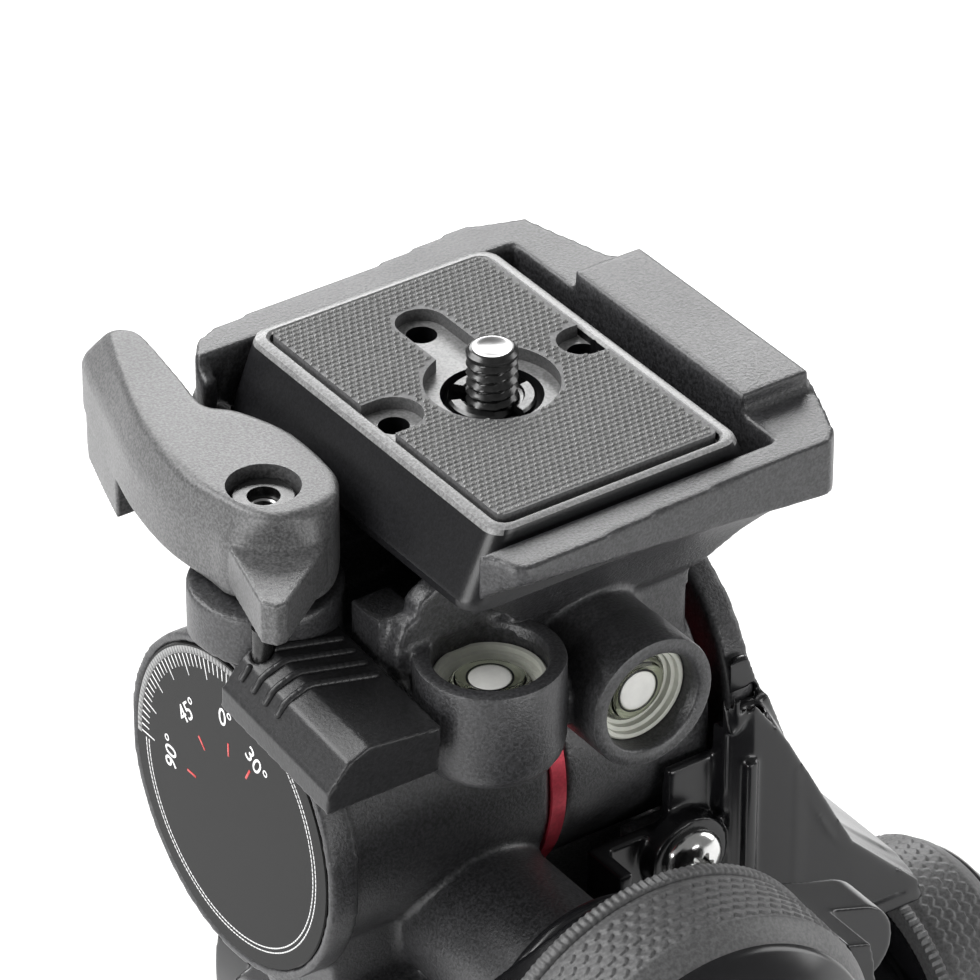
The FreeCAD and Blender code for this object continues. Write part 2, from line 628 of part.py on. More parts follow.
def make_fairing():
    middle = Vector(0, 0, size("side_z"))
    full = fairing_face(0.0, FAIRING_LEFT, FAIRING_LOW)
    full.translate(Y * FAIRING_FRONT)
    envelope = full.extrude(Y * (FAIRING_BACK - FAIRING_FRONT))
    inner = fairing_face(FAIRING_WALL, FAIRING_LEFT + FAIRING_WALL, FAIRING_LOW + FAIRING_WALL)
    inner.translate(Y * (FAIRING_FRONT - 1))
    pocket = inner.extrude(Y * (FAIRING_FLOOR - FAIRING_FRONT + 1))
    back = fairing_face(FAIRING_WALL, 0.0, FAIRING_LOW - 10)
    back.translate(Y * (FAIRING_FLOOR + 1.8))
    rear_room = back.extrude(Y * (FAIRING_BACK - FAIRING_FLOOR + 5))
    shell = envelope.cut(pocket).cut(rear_room)
    for x, top in ((19.6, 82.0), (27.0, 80.0)):
        rib = Part.makeBox(1.6, FAIRING_FLOOR - FAIRING_FRONT - 1.0, top - FAIRING_LOW,
                           Vector(x, FAIRING_FRONT + 1.0, FAIRING_LOW))
        shell = shell.fuse(rib.common(envelope))
    round_top = Part.makeCylinder(size("drum_radius") + 7.0, 60, middle, X)
    lower = Part.makeBox(80, 80, 36, Vector(0, -40, middle.z - 36))
    shell = shell.common(round_top.fuse(lower))
    for right, top in ((11.0, 74.0), (20.9, 82.0)):
        shell = shell.cut(Part.makeBox(right + 1, 60, 60, Vector(-1, -50, top)))
    shell = shell.cut(Part.makeBox(6.5, 60, 22.3, Vector(-1, -50, 40)))
    room = [Part.makeBox(RIGHT_CHEEK[1] - RIGHT_CHEEK[0] + 0.4, 31, 30, Vector(RIGHT_CHEEK[0] - 0.3, -15.3, 57.0)),
            Part.makeCylinder(size("drum_radius") + 0.4, 15.1, middle + X * 10.0, X)]
    for tool in room:
        shell = shell.cut(tool)
    screw_at = Vector(FAIRING_SCREW[0], FAIRING_FLOOR, FAIRING_SCREW[1])
    seat = Part.makeCylinder(5.6, 3.0, screw_at - Y * 3.0, Y)
    shell = shell.fuse(seat)
    shell = shell.cut(Part.makeCylinder(2.1, 12, screw_at - Y * 6, Y))
    biggest = max(shell.Solids, key=lambda solid: solid.Volume)
    name_piece(feature("Fairing", biggest.removeSplitter()), "side_fairing")
    screw = turned("FairingScrew", (
        (0, -7.0), (2.0, -7.0), (2.0, 0), (4.2, 0), (4.0, 1.2), (2.6, 2.1), (1.6, 2.3), (1.6, 1.0), (0, 1.0)),
        (FAIRING_SCREW[0], FAIRING_FLOOR - 3.02, FAIRING_SCREW[1]), (0, -1, 0))
    name_piece(screw, "fairing_screw")


# ---------------------------------------------------------------- platform

TOP_OUTLINE = ((-24.0, 28.0), (-18.0, 34.5), (19.5, 33.5), (26.5, 31.0), (30.0, 18.0), (33.6, 15.0),
               (33.6, -17.0), (28.5, -31.0), (24.5, -32.5), (-18.5, -32.5), (-22.0, -28.0), (-24.0, -20.0))
VIAL_TOP = (-15.6, -22.0, 110.0)
VIAL_FRONT = (1.5, -31.0, 101.5)


def frustum(low, high):
    """Loft between two level rectangles, each (x0, y0, x1, y1, z)."""
    wires = []
    for x0, y0, x1, y1, z in (low, high):
        corners = [Vector(x0, y0, z), Vector(x1, y0, z), Vector(x1, y1, z), Vector(x0, y1, z)]
        wires.append(Part.makePolygon(corners + corners[:1]))
    return Part.makeLoft(wires, True, True)


def make_platform():
    top = slab("PlatformTop", "Z", TOP_OUTLINE, 120.8, 7.7)
    jaw = slab("FixedJaw", "Y", ((21.7, 120.0), (33.6, 120.0), (31.6, 131.0), (21.7, 131.0)), -20.0, 34.0)
    skirt = feature("Skirt", frustum((-4.0, -16.0, 17.5, 16.0, 106.0), (-21.0, -30.0, 31.0, 31.0, 121.0)))
    left_body = feature("LeftBody", frustum((-30.0, 3.0, -3.0, 17.0, 98.6), (-36.0, 3.0, -3.0, 26.0, 113.4)))
    shelf = block("PointerShelf", (-34.0, -14.0, 97.0), (-4.0, 4.0, 107.2))
    neck = block("Neck", ("knuckle_left", -16.0, "side_z"), ("knuckle_right - 1.2", 16.0, 108.0))
    knuckle = rod("Knuckle", "knuckle_radius", "knuckle_right - knuckle_left", ("knuckle_left", 0, "side_z"), (1, 0, 0))
    boss = rod("LeverBoss", 7.0, 14.0, ("lever_x", "lever_y", 100.0))
    top_housing = rod("TopVialHousing", 9.0, 12.6, (VIAL_TOP[0], VIAL_TOP[1], VIAL_TOP[2] - 12.6))
    front_housing = rod("FrontVialHousing", 8.5, 16.0, (VIAL_FRONT[0], VIAL_FRONT[1] + 16.0, VIAL_FRONT[2]), (0, -1, 0))
    tab = block("StopTab", (-25.0, -13.0, 98.0), (-19.5, -7.0, 113.0))
    corner = block("CornerBlock", (-19.5, -16.0, 98.0), (-4.0, -10.0, 109.5))
    fin = rod("VialFin", 9.0, 3.0, (VIAL_TOP[0], VIAL_TOP[1] + 6.0, VIAL_TOP[2] - 1.0), (0, 1, 0))
    solid = joined("PlatformSolid", [top, jaw, skirt, left_body, shelf, neck, knuckle, boss, top_housing,
                                     front_housing, tab, corner, fin])
    hollows = [
        slab("PlateSeat", "Y", ((-60.0, 113.7), (-21.7, 113.7), (-21.7, "seat_z - 0.3"), (21.7, "seat_z - 0.3"),
                                (21.7, 140.0), (-60.0, 140.0)), -26.8, 53.6),
        block("LeverSweep", (-60.0, -40.0, 113.7), (-24.5, 60.0, 140.0)),
        rod("TopVialWell", 6.95, 8.0, (VIAL_TOP[0], VIAL_TOP[1], VIAL_TOP[2] - 8.0)),
        rod("FrontVialWell", 6.5, 8.0, (VIAL_FRONT[0], VIAL_FRONT[1] + 8.0, VIAL_FRONT[2]), (0, -1, 0)),
        rod("DrumClearance", "drum_radius + 0.7", "knuckle_left + 34.5", (-34.5, 0, "side_z"), (1, 0, 0)),
        rod("DialClearance", "dial_radius + 0.7", 5.2, (-38.6, 0, "side_z"), (1, 0, 0)),
        rod("RingClearance", "drum_radius + 0.7", 30.0, ("knuckle_right", 0, "side_z"), (1, 0, 0)),
        rod("PlatformAxleBore", "side_axle_radius", 40.0, (-8.0, 0, "side_z"), (1, 0, 0)),
        rod("LeverScrewBore", 2.5, 20.0, ("lever_x", "lever_y", 106.5)),
    ]
    name_piece(cut_all("PlatformFrame", solid, hollows), "platform_frame")
    name_piece(make_pointer(), "tilt_pointer")
    name_piece(rod("StopPin", 1.3, 6.0, (-37.0, -6.5, 107.6)), "lever_stop_pin")


def make_pointer():
    """Ribbed wedge over the dial whose straight edge reads the scale."""
    lean = Rotation(X, 6)
    wedge = slab("PointerWedge", "Y", ((-41.5, 101.0), (-41.5, 104.0), (-38.9, 107.6), (-36.0, 109.0),
                                       (-26.0, 107.6), (-26.0, 101.0)), -16.0, 22.5)
    wedge.Base.Placement = Placement(wedge.Base.Placement.Base, lean.multiply(FACING["Y"]))
    wedge.Dir = lean.multVec(Y)
    ribs = [rod(f"PointerRib{index}", 0.6, 9.5, (-37.2, y, 108.5 + 0.105 * y), (1, 0, -0.14))
            for index, y in enumerate((-12.5, -8.5, -4.5, -0.5, 3.5))]
    body = joined("PointerSolid", [wedge] + ribs)
    tools = [rod("PointerDialRoom", "dial_radius + 0.4", 5.2, (-38.4, 0, "side_z"), (1, 0, 0)),
             rod("PointerDrumRoom", "drum_radius + 0.7", 20.0, (-34.0, 0, "side_z"), (1, 0, 0)),
             rod("StopPinBore", 1.3, 10.0, (-37.0, -6.5, 107.6)),
             rod("PointerBossRoom", 7.05, 20.0, ("lever_x", "lever_y", 98.0)),
             block("PointerShelfRoom", (-34.05, -14.05, 90.0), (-3.0, 4.05, 107.25)),
             feature("PointerBodyRoom", frustum((-30.05, 2.95, -3.0, 17.0, 98.6), (-36.05, 2.95, -3.0, 26.0, 113.4)))]
    return cut_all("Pointer", body, tools)


def make_platform_details():
    axle = turned("SideAxle", ((0, 0), ("side_axle_radius", 0), ("side_axle_radius", 54.2), (0, 54.2)),
                  (-30.4, 0, "side_z"), (1, 0, 0))
    name_piece(axle, "side_tilt_axle")
    wheel = wheel_shape(size("big_module"), int(size("big_teeth")), size("side_axle_radius"), WHEEL_WIDTH + 0.4)
    name_piece(feature("SideWheel", wheel, ("side_gear_x", 0, "side_z"),
                       upright_frame((1, 0, 0), (0, 0, -1))), "side_tilt_wheel")
    for name, (x, y, z), radius, direction in (("top", VIAL_TOP, 6.9, (0, 0, 1)),
                                               ("front", VIAL_FRONT, 6.45, (0, -1, 0))):
        drop = Vector(*direction) * -7.9
        dome = ((0, 0), (radius, 0), (radius, 4.4), (radius - 1.2, 5.2), (0, 5.6))
        name_piece(turned(name.title() + "Vial", dome, (x + drop.x, y + drop.y, z + drop.z), direction),
                   name + "_level_vial")
    name_piece(turned("LeverScrew", (
        (0, 0), (2.5, 0), (2.5, 15.1), (4.0, 15.1), (4.0, 18.1), (3.6, 18.5), (2.0, 18.5), (2.0, 16.1), (0, 16.1)),
        ("lever_x", "lever_y", 106.5)), "clamp_lever_screw")
    coil = spring_shape(4.0, 0.4, 1.0, 4)
    name_piece(feature("LeverSpring", coil, ("lever_x", "lever_y", 115.0)), "clamp_lever_spring")


# ---------------------------------------------------------------- clamp lever

LEVER_OUTLINE = ((-21.75, 2.0), (-21.75, 12.0), (-24.9, 18.0), (-27.5, 20.6), (-27.9, 27.7), (-25.0, 40.1),
                 (-28.6, 42.5), (-32.6, 40.6), (-37.5, 32.5), (-41.9, 24.0), (-48.5, 6.0), (-42.0, -7.0),
                 (-34.5, -8.5), (-31.0, -7.2))


def make_clamp_lever():
    body = slab("LeverBody", "Z", LEVER_OUTLINE, "lever_top - 12", 12.0)
    lobe = rod("LeverLobe", "-21.75 - lever_x", 12.0, ("lever_x", "lever_y", "lever_top - 12"))
    beak = slab("LeverBeak", "Z", ((-44.0, -4.0), (-41.6, -13.6), (-39.2, -15.2), (-31.0, -10.0), (-29.0, -4.0)),
                "lever_top - 12", 7.0)
    solid = joined("LeverSolid", [body, lobe, beak])
    tools = [
        rod("LeverBore", 2.6, 20.0, ("lever_x", "lever_y", "lever_top - 14")),
        rod("LeverCounterbore", 4.5, 10.0, ("lever_x", "lever_y", "lever_top - 5")),
        rod("LeverSpringRoom", 4.8, 5.0, ("lever_x", "lever_y", "lever_top - 12.1")),
    ]
    name_piece(cut_all("ClampLever", solid, tools), "clamp_lever")


# ---------------------------------------------------------------- quick-release plate

PAD_INSET = 1.7


def make_quick_plate():
    half_top, half_foot = "plate_width / 2", "plate_flare / 2"
    core = slab("PlateCore", "Y", (
        ("-(plate_flare / 2)", "seat_z"), (half_foot, "seat_z"), (half_foot, "seat_z + 1.2"),
        (half_top, "top_z"), ("-(plate_width / 2)", "top_z"), ("-(plate_flare / 2)", "seat_z + 1.2")),
        "-(plate_length / 2)", "plate_length")
    pad_room = block("PadRoom", (f"-(plate_width / 2) + {PAD_INSET}", f"-(plate_length / 2) + {PAD_INSET + 0.4}", "top_z - 1.2"),
                     (f"plate_width / 2 - {PAD_INSET}", f"plate_length / 2 - {PAD_INSET + 0.4}", "top_z + 1"))
    screw_hole = rod("PlateScrewHole", 3.4, 20.0, (0, 0, "seat_z - 1"))
    well = rod("PlateWell", 6.2, 3.2, (0, 0, "top_z - 4.2"))
    under = rod("PlateUnder", 9.0, 5.0, (0, 0, "seat_z - 0.01"))
    holes = [rod(f"PlateHole{index}", 1.9, 20.0, (x, y, "seat_z - 1"))
             for index, (x, y) in enumerate(((-5.0, 15.5), (-12.6, -1.0), (13.2, 5.8)))]
    name_piece(cut_all("PlateFrame", core, [pad_room, screw_hole, well, under] + holes), "quick_plate")
    pad = block("PadBlank", (f"-(plate_width / 2) + {PAD_INSET + 0.1}", f"-(plate_length / 2) + {PAD_INSET + 0.5}", "top_z - 1.18"),
                (f"plate_width / 2 - {PAD_INSET + 0.1}", f"plate_length / 2 - {PAD_INSET + 0.5}", "top_z + 0.5"))
    openings = [rod("PadRound", 7.4, 5.0, (0, 0, "top_z - 2")),
                rod("PadHoleFar", 3.0, 5.0, (-5.0, 15.5, "top_z - 2")),
                rod("PadHoleNear", 3.4, 5.0, (-12.6, -1.0, "top_z - 2")),
                rod("PadHoleSide", 3.0, 5.0, (13.2, 5.8, "top_z - 2")),
                block("PadSlotFar", (-7.4, 0.0, "top_z - 2"), (-2.6, 15.5, "top_z + 3")),
                block("PadSlotNear", (-20.0, -4.0, "top_z - 2"), (-12.0, 2.0, "top_z + 3")),
                block("PadSlotSide", (12.0, 2.8, "top_z - 2"), (20.0, 8.8, "top_z + 3"))]
    name_piece(cut_all("Pad", pad, openings), "plate_pad")


def make_camera_screw():
    turned_part = turned("CameraScrewTurned", (
        (0, "seat_z + 2"), (8.0, "seat_z + 2"), (8.0, "seat_z + 3.4"), (3.2, "seat_z + 3.4"), (3.2, "top_z - 4.1"),
        (5.4, "top_z - 4.1"), (5.4, "top_z - 1.6"), (4.6, "top_z - 1.0"), ("screw_radius", "top_z - 1.0"),
        ("screw_radius", "top_z + 4.8"), ("screw_radius - 0.6", "top_z + 5.4"), (0, "top_z + 5.4")))
    ears = [block(f"BowEar{side}", (side * 5.1 - 0.6, -1.3, "seat_z + 0.15"), (side * 5.1 + 0.6, 1.3, "seat_z + 2.1"))
            for side in (-1, 1)]
    solid = joined("CameraScrewSolid", [turned_part] + ears)
    bore = rod("BowBore", 0.75, 20.0, (-10.0, 0, "seat_z + 0.95"), (1, 0, 0))
    name_piece(cut("CameraScrew", solid, bore), "camera_screw")
    bow = Part.makeTorus(6.6, 0.7, Vector(0, 0, 0), Z)
    half = Part.makeBox(20, 20, 20, Vector(-10, 0, -10))
    pins = [Part.makeCylinder(0.7, 2.6, Vector(side * 6.7, 0, 0), X * -side) for side in (-1, 1)]
    ring = bow.common(half).fuse(pins)
    name_piece(feature("ScrewRing", ring.removeSplitter(), (0, 0, "seat_z + 0.95")), "camera_screw_bow")


make_foot()
make_pan_housing()
make_cradle()
make_cradle_details()
make_fairing()
make_platform()
make_platform_details()
make_clamp_lever()
make_quick_plate()
make_camera_screw()
SMALL_PAIR = (size("gear_module"), size("small_centres") - size("gear_module") * size("gear_teeth") / 2, SMALL_BORE)
BIG_PAIR = (size("big_module"), size("big_centres") - size("big_module") * size("big_teeth") / 2, BIG_BORE)
control_group("Pan", PAN_AT, (0, 1, 0), (-1, 0, 0), PAN_TUBE, size("small_knob"), SMALL_PAIR,
              (12.0, 27.0, 5.0), (1, 0, 0))
control_group("Front", FRONT_AT, (1, 0, 0), (0, 0, 1), FRONT_TUBE, size("small_knob"), SMALL_PAIR,
              (12.0, 27.0, 5.0), (0, 1, 0))
control_group("Side", SIDE_AT, (0, -1, 0), (0, 0, 1), SIDE_TUBE, size("big_knob"), BIG_PAIR,
              (16.5, 38.0, 6.0), (1, 0, 0))

doc.recompute()
for thing in doc.Objects:
    if {"Invalid", "Error"} & set(thing.State):
        raise RuntimeError(f"{thing.Name} failed: {thing.State}")
os.makedirs("parts", exist_ok=True)
for piece in pieces:
    shape = piece.Shape
    if shape.isNull() or not shape.isValid() or not shape.Solids:
        raise RuntimeError(f"{piece.Label} has no valid solid")
    shape.exportStep(os.path.join("parts", piece.Label + ".step"))
    print(f"{piece.Label:28s} solids {len(shape.Solids)}  volume {shape.Volume:9.1f}")
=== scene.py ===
"""Looks of a geared three way pan tilt head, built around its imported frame.

Lengths are in millimetres in the row's own frame until a piece is handed over,
and metres from then on.
"""

import math

import bmesh
import bpy
import numpy as np
from mathutils import Matrix, Vector
from mathutils.bvhtree import BVHTree


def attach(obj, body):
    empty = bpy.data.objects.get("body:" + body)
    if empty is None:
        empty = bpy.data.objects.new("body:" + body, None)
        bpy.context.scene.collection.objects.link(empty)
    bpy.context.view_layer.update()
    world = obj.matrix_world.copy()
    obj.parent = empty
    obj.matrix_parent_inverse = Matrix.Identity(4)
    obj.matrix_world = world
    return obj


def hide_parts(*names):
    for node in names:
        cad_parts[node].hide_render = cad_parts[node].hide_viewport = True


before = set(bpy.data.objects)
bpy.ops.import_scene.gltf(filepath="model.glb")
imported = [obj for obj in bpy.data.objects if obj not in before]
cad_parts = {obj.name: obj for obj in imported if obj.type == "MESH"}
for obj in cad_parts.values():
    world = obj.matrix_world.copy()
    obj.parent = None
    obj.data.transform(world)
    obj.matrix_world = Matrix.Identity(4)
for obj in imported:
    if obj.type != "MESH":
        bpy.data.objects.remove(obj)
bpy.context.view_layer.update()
MM = 0.001
X, Y, Z = Vector((1, 0, 0)), Vector((0, 1, 0)), Vector((0, 0, 1))

# driving places of the frame, as the part's source has them
TOP_Z = 130.0
SIDE_Z = 84.3
DIAL_FACE = -38.0
DIAL_RADIUS = 22.0
LEVER_AT = Vector((-31.0, 2.0, 0.0))
LEVER_TOP = 126.5
# middle of the worm, axis, tube length, knob radius, hub radius, extra reach of the knob,
# body that holds the ring
GROUPS = {
    "pan": (Vector((11.5, 0, 19)), Y, 30.0, 18.5, 12.0, 0.0, "pan_body"),
    "front": (Vector((-8, -18.5, 30.5)), X, 42.0, 18.5, 12.0, 0.0, "cradle"),
    "side": (Vector((-14, 0, 69.3)), -Y, 40.0, 25.0, 16.5, 0.0, "cradle"),
}


# ---------------------------------------------------------------- materials

def set_input(shader, name, value):
    shader.inputs[name].default_value = value


def surface(name, colour, roughness, metallic=0.0, grain=2500.0, speckle=0.25, bump=0.15, depth=0.00004,
            specular=0.5):
    """Procedural finish: colour and bump broken up by fine noise, roughness by broad noise."""
    material = bpy.data.materials.new(name)
    material.use_nodes = True
    tree = material.node_tree
    nodes, links = tree.nodes, tree.links
    shader = nodes["Principled BSDF"]
    set_input(shader, "Metallic", metallic)
    set_input(shader, "Specular IOR Level", specular)
    place = nodes.new("ShaderNodeTexCoord")
    fine = nodes.new("ShaderNodeTexNoise")
    fine.inputs["Scale"].default_value = grain
    fine.inputs["Detail"].default_value = 2.0
    fine.inputs["Roughness"].default_value = 0.6
    links.new(place.outputs["Object"], fine.inputs["Vector"])
    broad = nodes.new("ShaderNodeTexNoise")
    broad.inputs["Scale"].default_value = 60.0
    broad.inputs["Detail"].default_value = 3.0
    links.new(place.outputs["Object"], broad.inputs["Vector"])
    ramp = nodes.new("ShaderNodeValToRGB")
    low, high = ramp.color_ramp.elements
    low.position, high.position = 0.36, 0.66
    low.color = [c * (1 - speckle) for c in colour] + [1]
    high.color = [min(1, c * (1 + speckle)) for c in colour] + [1]
    links.new(fine.outputs["Fac"], ramp.inputs["Fac"])
    links.new(ramp.outputs["Color"], shader.inputs["Base Color"])
    rough = nodes.new("ShaderNodeMapRange")
    rough.inputs["To Min"].default_value = max(0.02, roughness - 0.06)
    rough.inputs["To Max"].default_value = roughness + 0.06
    links.new(broad.outputs["Fac"], rough.inputs["Value"])
    links.new(rough.outputs["Result"], shader.inputs["Roughness"])
    relief = nodes.new("ShaderNodeBump")
    relief.inputs["Strength"].default_value = bump
    relief.inputs["Distance"].default_value = depth
    links.new(fine.outputs["Fac"], relief.inputs["Height"])
    links.new(relief.outputs["Normal"], shader.inputs["Normal"])
    return material


CAST = surface("cast_coat", (0.030, 0.030, 0.032), 0.42, grain=2600, speckle=0.6, bump=0.9, depth=0.00008,
               specular=0.7)
SATIN = surface("satin_coat", (0.080, 0.080, 0.081), 0.42, grain=2900, speckle=0.45, bump=0.8,
                depth=0.00006, specular=0.6)
# Plate's dark coat, darkened further as painted shade on its sides.
PLATE_SHADED_SIDES = surface("plate_coat_painted_shade", (0.008, 0.008, 0.009), 0.30, grain=2900, speckle=0.35, bump=0.4,
                depth=0.00003, specular=0.4)
MOULD = surface("dark_moulding", (0.014, 0.014, 0.015), 0.40, grain=2400, speckle=0.4, bump=0.6,
                depth=0.00005, specular=0.5)
GLOSS = surface("black_moulding", (0.008, 0.008, 0.009), 0.24, grain=900, speckle=0.15, bump=0.05,
                depth=0.00002)
DIAL_BLACK = surface("dial_black", (0.005, 0.005, 0.005), 0.16, grain=500, speckle=0.08, bump=0.02,
                     depth=0.00001,
                     specular=0.1)
RED = surface("red_anodised", (0.50, 0.045, 0.07), 0.36, metallic=0.5, grain=1800, speckle=0.12, bump=0.1,
              depth=0.00001)
RUBBER = surface("rubber", (0.075, 0.075, 0.076), 0.5, grain=2200, speckle=0.3, bump=0.35, depth=0.00005,
                 specular=0.6)
# Lighter copy of the plate's coat for its upward faces: painted sheen of the top light.
PLATE_TOP_SHEEN = surface("plate_rim_painted_sheen", (0.20, 0.20, 0.20), 0.34, grain=2900, speckle=0.3, bump=0.5, depth=0.00004)
# One pad rubber in two colours: the lighter one on the tread's crescents is painted sheen, the darker one on
# the sheet between them is painted shade of the gaps.
PAD_TREAD_SHEEN = surface("pad_rubber_painted_sheen", (0.36, 0.36, 0.355), 0.55, grain=3000, speckle=0.25, bump=0.3, depth=0.00003)
PAD_SHEET_SHADE = surface("pad_sheet_painted_shade", (0.085, 0.085, 0.086), 0.55, grain=3000, speckle=0.3, bump=0.3,
                    depth=0.00003)
CHROME = surface("bright_plating", (0.72, 0.72, 0.71), 0.16, metallic=1.0, grain=900, speckle=0.06,
                 bump=0.04, depth=0.00001)
STEEL = surface("turned_steel", (0.42, 0.42, 0.42), 0.3, metallic=1.0, grain=1200, speckle=0.1, bump=0.1,
                depth=0.00001)
DARK_STEEL = surface("blackened_steel", (0.06, 0.06, 0.06), 0.24, metallic=0.85, grain=1500, speckle=0.2,
                     bump=0.1,
                     depth=0.00001)
BRONZE = surface("bronze", (0.45, 0.28, 0.12), 0.3, metallic=1.0, grain=1200, speckle=0.12, bump=0.1,
                 depth=0.00001)
WHITE_INK = surface("white_ink", (0.85, 0.85, 0.85), 0.4, speckle=0.05, bump=0.02, depth=0.00001)
GREY_INK = surface("grey_ink", (0.30, 0.30, 0.30), 0.4, speckle=0.05, bump=0.02, depth=0.00001)
RED_INK = surface("red_ink", (0.60, 0.05, 0.05), 0.4, speckle=0.05, bump=0.02, depth=0.00001)
BLACK_INK = surface("black_ink", (0.01, 0.01, 0.01), 0.3, speckle=0.05, bump=0.02, depth=0.00001)
VIAL_BACK = surface("vial_back", (0.66, 0.67, 0.60), 0.3, grain=600, speckle=0.05, bump=0.02, depth=0.00001)
BUBBLE = surface("bubble", (0.88, 0.88, 0.84), 0.12, grain=600, speckle=0.04, bump=0.02, depth=0.00001)


def glass(name, colour, roughness=0.02, ior=1.46):
    material = bpy.data.materials.new(name)
    material.use_nodes = True
    tree = material.node_tree
    shader = tree.nodes["Principled BSDF"]
    set_input(shader, "Base Color", colour + (1,))
    set_input(shader, "Transmission Weight", 1.0)
    set_input(shader, "IOR", ior)
    noise = tree.nodes.new("ShaderNodeTexNoise")
    noise.inputs["Scale"].default_value = 300.0
    spread = tree.nodes.new("ShaderNodeMapRange")
    spread.inputs["To Min"].default_value = roughness * 0.5
    spread.inputs["To Max"].default_value = roughness * 1.5
    tree.links.new(noise.outputs["Fac"], spread.inputs["Value"])
    tree.links.new(spread.outputs["Result"], shader.inputs["Roughness"])
    return material


VIAL_GLASS = glass("vial_glass", (0.90, 0.92, 0.84))

NODE_FINISH = {
    CAST: ("pan_housing", "cradle_frame", "platform_frame", "foot_disc", "tilt_pointer"),
    SATIN: ("clamp_lever",),
    PLATE_SHADED_SIDES: ("quick_plate",),
    GLOSS: ("side_fairing", "front_gear_cover", "rear_hinge_cover", "pan_scale_ring", "tilt_dial"),
    RED: ("left_hinge_ring", "right_hinge_ring"),
    RUBBER: ("plate_pad",),
    CHROME: ("fairing_screw", "camera_screw"),
    DARK_STEEL: ("clamp_lever_screw", "lever_stop_pin", "camera_screw_bow"),
    STEEL: ("front_tilt_axle", "side_tilt_axle", "pan_wheel_retainer", "clamp_lever_spring",
            "tripod_thread_bush"),
    BRONZE: ("pan_wheel", "front_tilt_wheel", "side_tilt_wheel", "pan_bush", "side_tilt_left_bush",
             "side_tilt_right_bush", "front_tilt_front_bush", "front_tilt_rear_bush"),
}
for group in GROUPS:
    for material, names in ((GLOSS, ("release_lever", "knob_core", "knob_cap")), (RUBBER, ("knob_grip",)),
                            (GLOSS, ("ring",)), (STEEL, ("worm_shaft", "release_spring")),
                            (BRONZE, ("worm_bearings",))):
        NODE_FINISH[material] += tuple(f"{group}_{name}" for name in names)
for material, names in NODE_FINISH.items():
    for name in names:
        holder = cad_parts[name]
        for index in range(len(holder.material_slots)):
            holder.material_slots[index].material = material
for name in ("top_level_vial", "front_level_vial"):
    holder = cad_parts[name]
    for index in range(len(holder.material_slots)):
        holder.material_slots[index].material = VIAL_GLASS


# ---------------------------------------------------------------- mesh tools (millimetres)

def shape(name, points, faces):
    """Loose mesh object in millimetres."""
    mesh = bpy.data.meshes.new(name)
    mesh.from_pydata([tuple(p) for p in points], [], [tuple(f) for f in faces])
    mesh.validate()
    thing = bpy.data.objects.new(name, mesh)
    bpy.context.scene.collection.objects.link(thing)
    fix = bmesh.new()
    fix.from_mesh(mesh)
    bmesh.ops.recalc_face_normals(fix, faces=fix.faces)
    fix.to_mesh(mesh)
    fix.free()
    return thing


def cad_copy(node, name):
    """Copy of a CAD node's mesh in millimetres."""
    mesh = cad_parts[node].data.copy()
    mesh.transform(Matrix.Scale(1 / MM, 4))
    mesh.materials.clear()
    thing = bpy.data.objects.new(name, mesh)
    bpy.context.scene.collection.objects.link(thing)
    weld = bmesh.new()
    weld.from_mesh(mesh)
    bmesh.ops.remove_doubles(weld, verts=weld.verts, dist=0.001)
    weld.to_mesh(mesh)
    weld.free()
    return thing


def settle(thing):
    """Apply every modifier of a shape."""
    view = bpy.context.evaluated_depsgraph_get()
    mesh = bpy.data.meshes.new_from_object(thing.evaluated_get(view))
    thing.modifiers.clear()
    thing.data = mesh
    return thing


def drop(thing):
    bpy.data.objects.remove(thing, do_unlink=True)


def boolean(base, tools, how="DIFFERENCE"):
    for tool in tools:
        step = base.modifiers.new("cut", "BOOLEAN")
        step.operation = how
        step.solver = "EXACT"
        step.object = tool
        settle(base)
        drop(tool)
    return base


def bevelled(thing, width, segments=2, angle=35):
    step = thing.modifiers.new("bevel", "BEVEL")
    step.width = width
    step.segments = segments
    step.limit_method = "ANGLE"
    step.angle_limit = math.radians(angle)
    step.harden_normals = False
    return settle(thing)


def cast_skin(base, extras, voxel, rounds, factor=0.5):
    """One rounded skin over a shape and the shapes added to it."""
    merged = bmesh.new()
    merged.from_mesh(base.data)
    for extra in extras:
        merged.from_mesh(extra.data)
    merged.to_mesh(base.data)
    merged.free()
    for extra in extras:
        drop(extra)
    remesh = base.modifiers.new("remesh", "REMESH")
    remesh.mode = "VOXEL"
    remesh.voxel_size = voxel
    smooth = base.modifiers.new("smooth", "SMOOTH")
    smooth.factor = factor
    smooth.iterations = rounds
    return settle(base)


def hand_over(thing, body, material, replaces=(), sharp=None):
    """Scale a shape to metres and make it a piece of the dressed part."""
    thing.data.transform(Matrix.Scale(MM, 4))
    thing.data.materials.clear()
    for entry in material if isinstance(material, (list, tuple)) else [material]:
        thing.data.materials.append(entry)
    thing.data.polygons.foreach_set("use_smooth", [True] * len(thing.data.polygons))
    if sharp:
        thing.data.set_sharp_from_angle(angle=math.radians(sharp))
    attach(thing, body)
    if replaces:
        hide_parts(*replaces)
    return thing


def basis(at, direction, side=None):
    """Matrix that takes local Z to a direction and, where given, local X to a side."""
    up = Vector(direction).normalized()
    if side is None:
        side = X if abs(up.x) < 0.9 else Y
    side = (Vector(side) - up * up.dot(Vector(side))).normalized()
    across = up.cross(side)
    return Matrix.Translation(Vector(at)) @ Matrix((side, across, up)).transposed().to_4x4()


